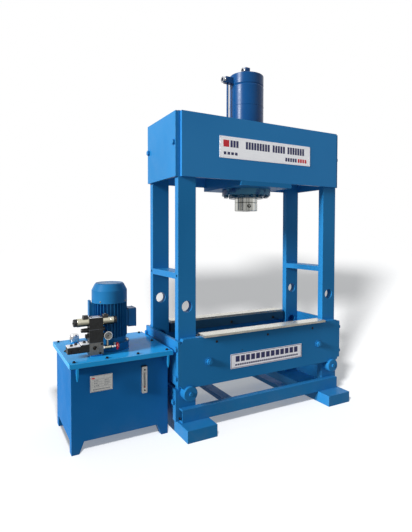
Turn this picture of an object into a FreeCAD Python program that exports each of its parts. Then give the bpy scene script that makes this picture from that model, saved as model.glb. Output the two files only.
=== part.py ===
import FreeCAD, Part
import math
import os
import re
import Sketcher
from FreeCAD import Placement, Rotation, Vector

# Four-column hydraulic press with a height-adjustable table, and its power unit standing at its left.
# X runs to the right along the front, Y away from the front, Z up. The origin is on the floor, midway
# between the four columns, under the ram. All lengths are in millimetres.

document = FreeCAD.newDocument("HydraulicPress")
sheet = document.addObject("Spreadsheet::Sheet", "Sizes")

sizes = {
    # clearances
    "running_gap": 0.05,          # radial, for a shaft or rod that turns or slides in its bore
    "pin_gap": 0.1,               # radial, support pin in a column bore
    "seat_gap": 0.3,              # between curved faces that lie against each other
    "bolt_gap": 0.5,              # radial, bolt in its drilled hole
    # feet
    "foot_high": 75,
    "foot_wide": 200,
    "foot_long": 772,
    "foot_beyond": 72,            # from a column's inner face to the foot's inner side
    "foot_wall": 12,
    # columns
    "column_inside_x": 530,
    "column_wide": 120,
    "column_inside_y": 187,
    "column_thick": 48,
    "column_long": 1900,
    "pin_bore": 71,
    "pin_lift": 175,              # lowest pin bore, above the foot
    "pin_pitch": 265,
    # base frame
    "channel_high": 80,
    "channel_flange": 43,
    "channel_web": 5,
    "channel_lip": 8,
    "channel_inset": 8,
    "crossbar_x": 240,
    "crossbar_wide": 70,
    "crossbar_high": 30,
    # end plates and their bolts
    "plate_thick": 18,
    "base_plate_high": 195,
    "base_bolt_lift": 117,
    "crosshead_bolt_lift": 210,
    "frame_bolt_deep": 60,
    "bolt_shank": 20,
    "bolt_flats": 30,
    "bolt_head": 13,
    # side braces
    "brace_lift": 875,
    "brace_high": 38,
    "brace_screw_hole": 19,
    "brace_screw_deep": 16,
    # crosshead
    "crosshead_thick": 22,
    "crosshead_inset": 14,
    "crosshead_drop": 2,
    "crosshead_high": 395,
    # cylinder mounting plate
    "mount_half": 210,
    "mount_thick": 30,
    "rib_thick": 22,
    "rib_high": 320,
    # cylinder
    "barrel_outer": 245,
    "cylinder_bore": 200,
    "barrel_long": 777,
    "flange_outer": 350,
    "flange_thick": 43,
    "flange_ring": 300,
    "joint_groove": 3,
    "joint_half": 7,
    "cap_high": 77,
    "cap_spigot": 20,
    "gland_outer": 244,
    "gland_high": 20,
    "gland_spigot": 55,
    "wiper_deep": 4,
    # ram
    "ram_rod": 164,
    "nose_out": 90,
    "ram_edge": 4,
    "nose_groove_z": 59,
    "nose_groove": 3,
    "nose_pin": 28,
    "nose_pin_z": 34,
    "tool_bore": 60,
    "tool_bore_deep": 72,
    "piston_thick": 90,
    "piston_gap": 22,
    # ports on the cylinder
    "boss_wide": 38,
    "boss_high": 42,
    "boss_proud": 5.5,
    "boss_lift": 8,
    "side_block_long": 55,
    "port_ring_long": 20,
    "port_ring": 42,
    "port_bore": 26,
    "port_deep": 50,
    "pipe_outer": 15,
    "pipe_wall": 2,
    "pipe_x": 160,
    "pipe_lift": 62,
    "pipe_bend": 24,
    "pipe_sunk": 7,
    "elbow_wide": 40,
    "elbow_deep": 38,
    "elbow_high": 66,
    "elbow_axis": 47,
    "elbow_ring": 36,
    "elbow_ring_long": 16,
    "elbow_bore": 22,
    # table
    "table_side_gap": 1,          # between a column and the table's end plate
    "table_thick": 38,
    "table_over_pin": 31,         # from the pins' axis to the long plates' lower edge
    "table_high": 306,
    "table_round": 26,
    "table_notch_x": 18,
    "table_notch_z": 34,
    "table_plate_lift": 23,
    "table_plate_high": 272,
    "table_bolt_lift": 69,
    "table_bolt_pitch": 178,
    "table_bolt_deep": 60,
    "bar_gap": 20,
    "bar_thick": 40,
    "bar_high": 62,
    "rail_gap": 30,
    "rail_wide": 92,
    "rail_thick": 14,
    "rail_proud": 27,
    "tie_inset": 75,
    "tie_lift": 147,
    "tie_bar": 40,
    "tie_shank": 24,
    "tie_flats": 36,
    "tie_nut": 19,
    # support pins
    "pin_head": 94,
    "pin_head_long": 55,
    "pin_knob": 24,
    "pin_knob_long": 10,
    "pin_beyond": 12,
    "pin_edge": 4,
    # tank
    "unit_gap": 7,                # between the table's bolts and the lid
    "tank_centre_y": 33,
    "tank_wide": 575,
    "tank_deep": 464,
    "tank_wall": 4,
    "leg_high": 67,
    "leg_top": 69,
    "leg_foot": 42,
    "leg_deep": 50,
    "lid_top": 524,
    "lid_over_x": 16.5,
    "lid_over_y": 50,
    "lid_edge": 27,
    "lid_plate": 6,
    "lid_wall": 3,
    "rim_thick": 6,
    "rim_gap": 2,
    "gusset_inset": 26,
    "gusset_thick": 5,
    "gusset_high": 62,
    "gusset_out": 40,
    "gauge_off_x": 133,
    "gauge_wide": 32,
    "gauge_drop": 241,
    "gauge_high": 158,
    "gauge_thick": 16,
    "window_wide": 14,
    "window_high": 96,
    "window_deep": 5,
    # motor and pump
    "motor_off_x": 15,
    "motor_off_y": 28,
    "adapter_outer": 236,
    "adapter_high": 32,
    "adapter_wall": 50,
    "adapter_spigot": 150,
    "adapter_drop": 58,
    "adapter_floor": 12,
    "motor_shell": 176,
    "motor_outer": 213,
    "motor_high": 254,
    "shield_thick": 14,
    "shield_outer": 201,
    "shield_lip": 8,
    "shield_neck": 200,
    "shield_high": 48,
    "fin_thick": 2.4,
    "stator_bore": 130,
    "shaft": 28,
    "rotor_long": 214,
    "coupling": 60,
    "coupling_high": 45,
    "fan_outer": 170,
    "fan_plate": 4,
    "fan_blade": 26,
    "cowl_high": 117,
    "cowl_outer": 214,
    "cowl_wall": 2.5,
    "cowl_straight": 75,
    "cowl_top": 172,
    "cowl_lip": 6,
    "terminal_seat": 19,
    "terminal_long": 46,
    "terminal_wide": 96,
    "terminal_high": 114,
    "terminal_lift": 94,
    "terminal_round": 8,
    "cable_gland": 26,
    "cable_gland_long": 14,
    "cast_pad_out": 122,
    "cast_pad_wide": 40,
    "cast_pad_lift": 170,
    "cast_pad_high": 80,
    "cast_pad_y": 10,
    "cast_pad_lug": 11,
    "cast_pad_lug_high": 16,
    "pump_flange": 140,
    "pump_flange_thick": 12,
    "pump_side": 104,
    "pump_high": 120,
    "suction_pipe": 34,
    "strainer": 84,
    "strainer_lift": 29,
    "strainer_high": 120,
    # valve stack
    "stack_off_x": 136,
    "stack_off_y": 193,
    "stack_deep": 60,
    "riser_high": 10,
    "riser_inset": 6,
    "manifold_wide": 80,
    "manifold_high": 80,
    "manifold_port_x": 10,
    "manifold_port_z": 51,
    "manifold_port": 24,
    "manifold_port_deep": 32,
    "module_wide": 79,
    "module_high": 76,
    "adjuster_z": 71,
    "adjuster_boss": 26,
    "adjuster_boss_long": 24,
    "adjuster_knob": 24,
    "adjuster_knob_long": 18,
    "adjuster_stem": 10,
    "lower_plug_drop": 33,
    "lower_plug": 22,
    "lower_plug_long": 18,
    "module_stub": 26,
    "module_stub_long": 14,
    "valve_wide": 78,
    "valve_high": 66,
    "solenoid_z": 42,
    "solenoid": 47,
    "solenoid_long": 52,
    "solenoid_cap": 42,
    "solenoid_cap_long": 32,
    "button": 10,
    "button_proud": 5,
    "button_long": 14,
    "button_stroke": 4,
    "plug_wide": 28,
    "plug_deep": 28,
    "plug_high": 20,
    "plug_offset": 18,
    "check_long": 120,
    "check_low": 31,
    "check_high": 45,
    "check_step": 16,
    "check_step_long": 74,
    "needle_off_y": 15,
    "needle_z": 43,
    "needle_body": 22,
    "needle_body_long": 50,
    "needle_stem": 10,
    "needle_stem_long": 39,
    "needle_knob": 44,
    "needle_knob_thick": 14,
    "dial_out": 26.5,
    "dial_z": 114,
    "dial_outer": 49,
    "dial_thick": 21,
    "dial_proud": 5,
    "dial_recess": 42,
    "dial_deep": 4,
    "dial_stem": 12,
    "pointer_axle": 2.4,
    "pointer_thick": 1.2,
    "pointer_hub": 7,
    "pointer_long": 17,
    "pointer_wide": 2,
    "breather_off_x": 184,
    "breather_off_y": 195,
    "breather": 58,
    "breather_high": 58,
    "breather_lift": 6,
    "breather_round": 12,
    "neck_outer": 38,
    "neck_high": 24,
}
for row, (alias, value) in enumerate(sizes.items(), start=1):
    sheet.set(f"A{row}", alias)
    sheet.set(f"B{row}", str(value))
    sheet.setAlias(f"B{row}", alias)
document.recompute()

# counts
pinHoles = 3
flangeBolts = 12
motorFins = 32
fanBlades = 8

# places and lengths that follow from the sizes
derived = {
    "foot_inside_x": "column_inside_x - foot_beyond",
    "pin_first": "foot_high + pin_lift",
    "base_bolt_z": "foot_high + base_bolt_lift",
    "brace_low": "foot_high + brace_lift",
    "channel_half": "column_inside_x + column_wide - channel_inset",
    "crosshead_half": "column_inside_x + column_wide - crosshead_inset",
    "crosshead_low": "foot_high + column_long - crosshead_drop - crosshead_high",
    "crosshead_bolt_z": "crosshead_low + crosshead_bolt_lift",
    "barrel_low": "crosshead_low - mount_thick - flange_thick",
    "cap_low": "barrel_low + barrel_long",
    "boss_low": "cap_low + boss_lift",
    "pipe_low": "crosshead_low + pipe_lift",
    "ram_nose": "barrel_low - gland_high - nose_out",
    "piston_low": "cap_low - cap_spigot - piston_gap - piston_thick",
    "table_half": "column_inside_x + column_wide + table_side_gap",
    "table_low": "pin_first + table_over_pin",
    "table_plate_low": "table_low + table_plate_lift",
    "table_bolt_low": "table_low + table_bolt_lift",
    "table_bolt_high": "table_bolt_low + table_bolt_pitch",
    "bar_half": "column_inside_x - bar_gap",
    "rail_half": "column_inside_x - rail_gap",
    "tie_x": "column_inside_x - tie_inset",
    "tie_z": "table_low + tie_lift",
    "lid_wide": "tank_wide + 2*lid_over_x",
    "lid_deep": "tank_deep + 2*lid_over_y",
    "tank_centre_x": "-(table_half + plate_thick + bolt_head + unit_gap + lid_wide/2)",
    "gauge_x": "tank_centre_x + gauge_off_x",
    "gauge_low": "lid_top - gauge_drop",
    "motor_x": "tank_centre_x - motor_off_x",
    "motor_y": "tank_centre_y - motor_off_y",
    "terminal_low": "lid_top + adapter_high + terminal_lift",
    "cast_pad_low": "lid_top + adapter_high + cast_pad_lift",
    "strainer_low": "leg_high + strainer_lift",
    "stack_x": "tank_centre_x - stack_off_x",
    "stack_front": "tank_centre_y - stack_off_y",
    "needle_y": "stack_front + needle_off_y",
    "dial_x": "stack_x + manifold_wide/2 + dial_out",
    "dial_front": "stack_front - dial_proud",
    "breather_x": "tank_centre_x - breather_off_x",
    "breather_y": "tank_centre_y + breather_off_y",
}

# places that several pieces share
columnOutX = "(column_inside_x + column_wide)"
columnMidX = "(column_inside_x + column_wide/2)"
columnOutY = "(column_inside_y + column_thick)"
columnMidY = "(column_inside_y + column_thick/2)"
plateOutX = f"({columnOutX} + plate_thick)"
braceMidZ = "(brace_low + brace_high/2)"
mountLow = "(crosshead_low - mount_thick)"
barrelLow = "barrel_low"
capLow = "cap_low"
capTop = f"({capLow} + cap_high)"
glandLow = f"({barrelLow} - gland_high)"
bossFace = "(barrel_outer/2 + boss_proud)"
portAxisZ = "(boss_low + boss_high/2)"
tableFaceY = f"({columnOutY} + table_thick)"
tableMidY = f"({columnOutY} + table_thick/2)"
tableTop = "(table_low + table_high)"
pinRadius = "(pin_bore/2 - pin_gap)"
tankLeft = "(tank_centre_x - tank_wide/2)"
tankRight = "(tank_centre_x + tank_wide/2)"
tankFront = "(tank_centre_y - tank_deep/2)"
tankBack = "(tank_centre_y + tank_deep/2)"
lidUnder = "(lid_top - lid_plate)"
motorLow = "(lid_top + adapter_high)"
motorTop = f"({motorLow} + motor_high)"
pumpTop = "(lid_top - adapter_drop)"
stackBack = "(stack_front + stack_deep)"
stackMidY = "(stack_front + stack_deep/2)"
moduleLow = "(lid_top + manifold_high)"
valveLow = f"({moduleLow} + module_high)"
manifoldLeft = "(stack_x - manifold_wide/2)"
manifoldRight = "(stack_x + manifold_wide/2)"
needleZ = "(lid_top + needle_z)"
needleEnd = f"({manifoldRight} + needle_body_long)"
dialZ = "(lid_top + dial_z)"
solenoidZ = f"({valveLow} + solenoid_z)"
adjusterZ = f"({moduleLow} + adjuster_z)"
solenoidOut = "(valve_wide/2 + solenoid_long)"

planeRoles = {"X": "YZ_Plane", "Y": "XZ_Plane", "Z": "XY_Plane"}
turns = {
    "X": Rotation(Vector(0, 1, 0), 90),
    "-X": Rotation(Vector(0, 1, 0), -90),
    "Y": Rotation(Vector(1, 0, 0), -90),
    "-Y": Rotation(Vector(1, 0, 0), 90),
    "Z": Rotation(),
    "-Z": Rotation(Vector(1, 0, 0), 180),
}
pieces = []


def tied(text):
    def cell(match):
        word = match.group()
        if word in derived:
            return f"({tied(derived[word])})"
        return f"Sizes.{word}" if word in sizes else word

    return re.sub(r"[a-z]\w+", cell, text)


def place(item, x, y, z):
    for letter, text in zip("xyz", (x, y, z)):
        item.setExpression(f"Placement.Base.{letter}", tied(text))


def newBody(name):
    body = document.addObject("PartDesign::Body", name)
    body.Label = name
    pieces.append(body)
    return body


def sketchOn(body, axis, level):
    sketch = body.newObject("Sketcher::SketchObject", f"{body.Name}_sketch")
    plane = next(item for item in body.Origin.OriginFeatures if item.Role == planeRoles[axis])
    sketch.AttachmentSupport = [(plane, "")]
    sketch.MapMode = "FlatFace"
    # the sketch of an XZ plane faces -Y
    sketch.setExpression("AttachmentOffset.Base.z", tied(f"-({level})" if axis == "Y" else level))
    return sketch


def tiePoint(sketch, geometry, end, x, y):
    for kind, text in (("DistanceX", x), ("DistanceY", y)):
        index = sketch.addConstraint(Sketcher.Constraint(kind, -1, 1, geometry, end, 5.0))
        sketch.setExpression(f"Constraints[{index}]", tied(text))


def addOutline(sketch, points):
    count = len(points)
    start = sketch.GeometryCount
    ring = [
        Vector(10 * math.cos(2 * math.pi * step / count), 10 * math.sin(2 * math.pi * step / count), 0)
        for step in range(count)
    ]
    for step in range(count):
        sketch.addGeometry(Part.LineSegment(ring[step], ring[(step + 1) % count]), False)
    for step in range(count):
        following = start + (step + 1) % count
        sketch.addConstraint(Sketcher.Constraint("Coincident", start + step, 2, following, 1))
    for step, (x, y) in enumerate(points):
        tiePoint(sketch, start + step, 1, x, y)


def addCircle(sketch, x, y, diameter):
    geometry = sketch.addGeometry(Part.Circle(Vector(5, 5, 0), Vector(0, 0, 1), 3), False)
    tiePoint(sketch, geometry, 3, x, y)
    index = sketch.addConstraint(Sketcher.Constraint("Diameter", geometry, 6.0))
    sketch.setExpression(f"Constraints[{index}]", tied(diameter))


def rectangle(left, right, low, high):
    return [(left, low), (right, low), (right, high), (left, high)]


def draw(sketch, outlines, circles):
    for outline in outlines:
        addOutline(sketch, outline)
    for circle in circles:
        addCircle(sketch, *circle)


def pad(body, axis, low, high, outlines=(), circles=()):
    sketch = sketchOn(body, axis, high if axis == "Y" else low)
    draw(sketch, outlines, circles)
    feature = body.newObject("PartDesign::Pad", f"{body.Name}_pad")
    feature.Profile = sketch
    feature.setExpression("Length", tied(f"({high}) - ({low})"))
    sketch.Visibility = False
    document.recompute()
    return feature


def cut(body, axis, low, high, outlines=(), circles=()):
    before = body.Shape.Volume
    sketch = sketchOn(body, axis, low if axis == "Y" else high)
    draw(sketch, outlines, circles)
    feature = body.newObject("PartDesign::Pocket", f"{body.Name}_cut")
    feature.Profile = sketch
    feature.setExpression("Length", tied(f"({high}) - ({low})"))
    sketch.Visibility = False
    document.recompute()
    if not body.Shape.Volume < before:
        raise ValueError(f"{body.Name}: a cut removed nothing")
    return feature


def turned(name, points, axis="Z", spot=("0", "0", "0")):
    body = newBody(name)
    sketch = sketchOn(body, "Y", "0")
    addOutline(sketch, points)
    feature = body.newObject("PartDesign::Revolution", f"{name}_turned")
    feature.Profile = sketch
    feature.ReferenceAxis = (sketch, ["V_Axis"])
    feature.Angle = 360
    sketch.Visibility = False
    body.Placement = Placement(Vector(), turns[axis])
    place(body, *spot)
    document.recompute()
    return body


def roundOff(body, radius, chosen):
    base = body.Tip
    edges = [f"Edge{index}" for index, edge in enumerate(base.Shape.Edges, start=1) if chosen(edge)]
    feature = body.newObject("PartDesign::Fillet", f"{body.Name}_fillet")
    feature.Base = (base, edges)
    feature.setExpression("Radius", tied(radius))
    document.recompute()
    return feature


def along(edge, axis):
    if edge.Curve.TypeId != "Part::GeomLine":
        return False
    return abs(getattr(edge.Curve.Direction, axis)) > 0.999


def repeatRound(body, feature, count):
    pattern = body.newObject("PartDesign::PolarPattern", f"{body.Name}_pattern")
    pattern.Originals = [feature]
    pattern.Axis = (feature.Profile[0], ["N_Axis"])
    pattern.Angle = 360
    pattern.Occurrences = count
    body.Tip = pattern
    document.recompute()
    return pattern


def stacked(name, axis, spot, parts):
    # round and six-sided lengths one behind the other along an axis, as one solid
    shapes = []
    sign = "-" if axis.startswith("-") else "+"
    index = "XYZ".index(axis[-1])
    for form, across, start, length in parts:
        if form == "hex":
            shape = document.addObject("Part::Prism", f"{name}_hex")
            shape.Polygon = 6
            shape.setExpression("Circumradius", tied(f"({across})/sqrt(3)"))
        else:
            shape = document.addObject("Part::Cylinder", f"{name}_round")
            shape.setExpression("Radius", tied(f"({across})/2"))
        shape.setExpression("Height", tied(length))
        shape.Placement = Placement(Vector(), turns[axis])
        base = list(spot)
        base[index] = f"({base[index]}) {sign} ({start})"
        place(shape, *base)
        shapes.append(shape)
    joined = document.addObject("Part::MultiFuse", name)
    joined.Shapes = shapes
    return joined


def group(name, members):
    item = document.addObject("Part::Compound", name)
    item.Label = name
    item.Links = members
    pieces.append(item)
    return item


# Feet: welded trays, open underneath, resting on their rims.
for side, sign in (("left", "-"), ("right", "")):
    inner = f"{sign}foot_inside_x"
    outer = f"{sign}(foot_inside_x + foot_wide)"
    foot = newBody(f"foot_{side}")
    pad(foot, "Z", "0", "foot_high", [rectangle(inner, outer, "-foot_long/2", "foot_long/2")])
    hollow = rectangle(
        f"{sign}(foot_inside_x + foot_wall)",
        f"{sign}(foot_inside_x + foot_wide - foot_wall)",
        "-foot_long/2 + foot_wall",
        "foot_long/2 - foot_wall",
    )
    cut(foot, "Z", "0", "foot_high - foot_wall", [hollow])

# Columns: flat bars with a row of pin bores, cross-drilled for the end plates and side braces.
for depth, ySign in (("front", "-"), ("rear", "")):
    for side, xSign in (("left", "-"), ("right", "")):
        column = newBody(f"column_{depth}_{side}")
        face = rectangle(f"{xSign}column_inside_x", f"{xSign}{columnOutX}",
                         "foot_high", "foot_high + column_long")
        yNear, yFar = f"{ySign}column_inside_y", f"{ySign}{columnOutY}"
        low, high = (yFar, yNear) if depth == "front" else (yNear, yFar)
        pad(column, "Y", low, high, [face])
        bores = [(f"{xSign}{columnMidX}", f"pin_first + {step}*pin_pitch", "pin_bore")
                 for step in range(pinHoles)]
        cut(column, "Y", low, high, circles=bores)
        boltHoles = [(f"{ySign}{columnMidY}", level, "bolt_shank + 2*bolt_gap")
                     for level in ("base_bolt_z", "crosshead_bolt_z")]
        screwHole = [(f"{ySign}{columnMidY}", braceMidZ, "brace_screw_hole")]
        for deep, holes in (("frame_bolt_deep + 4", boltHoles), ("brace_screw_deep", screwHole)):
            outside = (f"-{columnOutX}", f"-{columnOutX} + {deep}")
            if side == "right":
                outside = (f"{columnOutX} - ({deep})", columnOutX)
            cut(column, "X", *outside, circles=holes)

# Base frame: two channels in front of and behind the columns, welded to two cross bars.
baseFrame = newBody("base_frame")
channelTop = "foot_high + channel_high"
channelFace = f"({columnOutY} + channel_flange)"
for sign in ("-", ""):
    web = f"{sign}({channelFace} - channel_web)"
    channel = [
        (f"{sign}{channelFace}", "foot_high"),
        (f"{sign}{columnOutY}", "foot_high"),
        (f"{sign}{columnOutY}", "foot_high + channel_lip"),
        (web, "foot_high + channel_lip"),
        (web, f"{channelTop} - channel_lip"),
        (f"{sign}{columnOutY}", f"{channelTop} - channel_lip"),
        (f"{sign}{columnOutY}", channelTop),
        (f"{sign}{channelFace}", channelTop),
    ]
    pad(baseFrame, "X", "-channel_half", "channel_half", [channel])
    if sign == "-":
        for barSign in ("-", ""):
            bar = rectangle(
                f"{barSign}crossbar_x - crossbar_wide/2",
                f"{barSign}crossbar_x + crossbar_wide/2",
                f"-({channelFace} - channel_web)",
                f"{channelFace} - channel_web",
            )
            pad(baseFrame, "Z", "foot_high + channel_lip", "foot_high + channel_lip + crossbar_high", [bar])

# End plates of the base and of the crosshead.
endPlates = (
    ("base", "foot_high", "foot_high + base_plate_high", "base_bolt_z"),
    ("crosshead", "crosshead_low", "crosshead_low + crosshead_high", "crosshead_bolt_z"),
)
for part, low, high, boltLevel in endPlates:
    for side, left, right in (("left", f"-{plateOutX}", f"-{columnOutX}"), ("right", columnOutX, plateOutX)):
        plate = newBody(f"{part}_end_plate_{side}")
        pad(plate, "X", left, right, [rectangle(f"-{columnOutY}", columnOutY, low, high)])
        holes = [(f"{sign}{columnMidY}", boltLevel, "bolt_shank + 2*bolt_gap") for sign in ("-", "")]
        cut(plate, "X", left, right, circles=holes)

# Side braces between the front and rear columns.
for side, left, right in (("left", f"-{columnOutX}", "-column_inside_x"),
                          ("right", "column_inside_x", columnOutX)):
    brace = newBody(f"side_brace_{side}")
    section = rectangle("-column_inside_y", "column_inside_y", "brace_low", "brace_low + brace_high")
    pad(brace, "X", left, right, [section])

# Bolts that draw the end plates to the columns, screwed into the columns' edges.
frameBolts = []
for boltLevel in ("base_bolt_z", "crosshead_bolt_z"):
    for xSign, axis in (("-", "X"), ("", "-X")):
        for ySign in ("-", ""):
            lengths = [
                ("hex", "bolt_flats", "-bolt_head", "bolt_head"),
                ("round", "bolt_shank", "0", "plate_thick + frame_bolt_deep"),
            ]
            spot = (f"{xSign}{plateOutX}", f"{ySign}{columnMidY}", boltLevel)
            frameBolts.append(stacked("frame_bolt", axis, spot, lengths))
group("end_plate_bolts", frameBolts)

# Crosshead: two long plates on the columns' faces.
crossheadTop = "crosshead_low + crosshead_high"
crossheadFace = f"({columnOutY} + crosshead_thick)"
for depth, low, high in (("front", f"-{crossheadFace}", f"-{columnOutY}"),
                         ("rear", columnOutY, crossheadFace)):
    plate = newBody(f"crosshead_{depth}_plate")
    pad(plate, "Y", low, high,
        [rectangle("-crosshead_half", "crosshead_half", "crosshead_low", crossheadTop)])

# Cylinder mounting plate under the crosshead, with two ribs welded upright between the plates.
flangeHoles = []
for step in range(flangeBolts):
    angle = 2 * math.pi * (step + 0.5) / flangeBolts
    flangeHoles.append((f"{math.cos(angle):.7f}*flange_ring/2", f"{math.sin(angle):.7f}*flange_ring/2"))
drilledRing = [(x, y, "bolt_shank + 2*bolt_gap") for x, y in flangeHoles]
mountPlate = newBody("cylinder_mount_plate")
pad(mountPlate, "Z", mountLow, "crosshead_low",
    [rectangle("-mount_half", "mount_half", f"-{crossheadFace}", crossheadFace)])
for left, right in (("-mount_half", "-mount_half + rib_thick"), ("mount_half - rib_thick", "mount_half")):
    pad(mountPlate, "Z", "crosshead_low", "crosshead_low + rib_high",
        [rectangle(left, right, f"-{columnOutY}", columnOutY)])
barrelHole = ("0", "0", "barrel_outer + 2*seat_gap")
cut(mountPlate, "Z", mountLow, "crosshead_low", circles=[barrelHole] + drilledRing)

# Cylinder barrel with its bolting flange, the lower port and the half groove of the cap joint.
barrel = turned("cylinder_barrel", [
    ("cylinder_bore/2", barrelLow),
    ("flange_outer/2", barrelLow),
    ("flange_outer/2", mountLow),
    ("barrel_outer/2", mountLow),
    ("barrel_outer/2", f"{capLow} - joint_half"),
    ("barrel_outer/2 - joint_groove", capLow),
    ("cylinder_bore/2", capLow),
])
cut(barrel, "Z", barrelLow, mountLow, circles=drilledRing)
cut(barrel, "X", "-barrel_outer/2", "-cylinder_bore/4",
    circles=[("0", "pipe_low", "pipe_outer + 2*seat_gap")])

# Cylinder cap: spigot in the bore, port through the middle and a flat boss for the side port.
cap = turned("cylinder_cap", [
    ("0", f"{capLow} - cap_spigot"),
    ("cylinder_bore/2 - seat_gap", f"{capLow} - cap_spigot"),
    ("cylinder_bore/2 - seat_gap", capLow),
    ("barrel_outer/2 - joint_groove", capLow),
    ("barrel_outer/2", f"{capLow} + joint_half"),
    ("barrel_outer/2", f"{capTop} - 3"),
    ("barrel_outer/2 - 3", capTop),
    ("0", capTop),
])
pad(cap, "X", f"-{bossFace}", "-barrel_outer/2 + 20",
    [rectangle("-boss_wide/2", "boss_wide/2", "boss_low", "boss_low + boss_high")])
cut(cap, "Z", f"{capLow} - cap_spigot", capTop, circles=[("0", "0", "elbow_bore")])

# Gland: ring under the barrel, guiding the ram, with a wiper recess.
turned("cylinder_gland", [
    ("ram_rod/2 + running_gap", f"{glandLow} + wiper_deep"),
    ("ram_rod/2 + wiper_deep", f"{glandLow} + wiper_deep"),
    ("ram_rod/2 + wiper_deep", glandLow),
    ("gland_outer/2", glandLow),
    ("gland_outer/2", barrelLow),
    ("cylinder_bore/2 - seat_gap", barrelLow),
    ("cylinder_bore/2 - seat_gap", f"{barrelLow} + gland_spigot"),
    ("ram_rod/2 + running_gap", f"{barrelLow} + gland_spigot"),
])

# Bolts that hold the barrel flange to the mounting plate, screwed in from below.
ringBolts = []
for x, y in flangeHoles:
    lengths = [
        ("hex", "bolt_flats", "-bolt_head", "bolt_head"),
        ("round", "bolt_shank", "0", "flange_thick + mount_thick - 2"),
    ]
    ringBolts.append(stacked("ring_bolt", "Z", (x, y, barrelLow), lengths))
group("flange_bolts", ringBolts)

# Elbow on the cap, its open end towards the left.
elbow = newBody("cap_elbow")
elbowZ = f"({capTop} + elbow_axis)"
pad(elbow, "Z", capTop, f"{capTop} + elbow_high",
    [rectangle("-elbow_wide/2", "elbow_wide/2", "-elbow_deep/2", "elbow_deep/2")])
roundOff(elbow, "6", lambda edge: along(edge, "z"))
pad(elbow, "X", "-elbow_wide/2 - elbow_ring_long", "-elbow_wide/2", circles=[("0", elbowZ, "elbow_ring")])
cut(elbow, "X", "-elbow_wide/2 - elbow_ring_long", "0", circles=[("0", elbowZ, "elbow_bore")])
cut(elbow, "Z", capTop, elbowZ, circles=[("0", "0", "elbow_bore")])

# Side port block on the cap's boss, its open end towards the left, the pipe entering from below.
block = newBody("side_port_block")
blockOut = f"({bossFace} + side_block_long)"
pad(block, "X", f"-{blockOut}", f"-{bossFace}",
    [rectangle("-boss_wide/2", "boss_wide/2", "boss_low", "boss_low + boss_high")])
pad(block, "X", f"-{blockOut} - port_ring_long", f"-{blockOut}", circles=[("0", portAxisZ, "port_ring")])
cut(block, "X", f"-{blockOut} - port_ring_long", f"-{blockOut} - port_ring_long + port_deep",
    circles=[("0", portAxisZ, "port_bore")])
cut(block, "Z", "boss_low", "boss_low + pipe_sunk", circles=[("-pipe_x", "0", "pipe_outer + 2*seat_gap")])

# Side pipe from the block down to the lower port of the barrel: two straight runs and a bend.
pipeShapes = []
for diameter in ("pipe_outer", "(pipe_outer - 2*pipe_wall)"):
    upright = document.addObject("Part::Cylinder", "pipe_upright")
    upright.setExpression("Height", tied("boss_low + pipe_sunk - pipe_low - pipe_bend"))
    place(upright, "-pipe_x", "0", "pipe_low + pipe_bend")
    bend = document.addObject("Part::Torus", "pipe_bend_quarter")
    bend.setExpression("Radius1", tied("pipe_bend"))
    bend.setExpression("Radius2", tied(f"{diameter}/2"))
    bend.Angle3 = 90
    bendTurn = Rotation(Vector(-1, 0, 0), Vector(0, 0, -1), Vector(0, -1, 0), "XYZ")
    bend.Placement = Placement(Vector(), bendTurn)
    place(bend, "-pipe_x + pipe_bend", "0", "pipe_low + pipe_bend")
    level = document.addObject("Part::Cylinder", "pipe_level")
    level.setExpression("Height", tied("pipe_x - pipe_bend - barrel_outer/2 + pipe_sunk"))
    level.Placement = Placement(Vector(), turns["X"])
    place(level, "-pipe_x + pipe_bend", "0", "pipe_low")
    for straight in (upright, level):
        straight.setExpression("Radius", tied(f"{diameter}/2"))
    joined = document.addObject("Part::MultiFuse", "pipe_run")
    joined.Shapes = [upright, bend, level]
    pipeShapes.append(joined)
pipe = document.addObject("Part::Cut", "side_pipe")
pipe.Label = "side_pipe"
pipe.Base, pipe.Tool = pipeShapes
pieces.append(pipe)

# Ram: rod with its piston, a tool bore in the nose and a cross hole for the tool's locking pin.
pistonTop = "(piston_low + piston_thick)"
ram = turned("ram", [
    ("tool_bore/2", "ram_nose"),
    ("ram_rod/2 - ram_edge", "ram_nose"),
    ("ram_rod/2", "ram_nose + ram_edge"),
    ("ram_rod/2", "ram_nose + nose_groove_z - nose_groove"),
    ("ram_rod/2 - nose_groove", "ram_nose + nose_groove_z"),
    ("ram_rod/2", "ram_nose + nose_groove_z + nose_groove"),
    ("ram_rod/2", "piston_low"),
    ("cylinder_bore/2 - running_gap", "piston_low"),
    ("cylinder_bore/2 - running_gap", pistonTop),
    ("0", pistonTop),
    ("0", "ram_nose + tool_bore_deep"),
    ("tool_bore/2", "ram_nose + tool_bore_deep"),
])
cut(ram, "Y", "-ram_rod/2", "ram_rod/2", circles=[("0", "ram_nose + nose_pin_z", "nose_pin")])
ram.Placement = Placement(Vector(), Rotation(Vector(0, 0, 1), -17.5))

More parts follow.
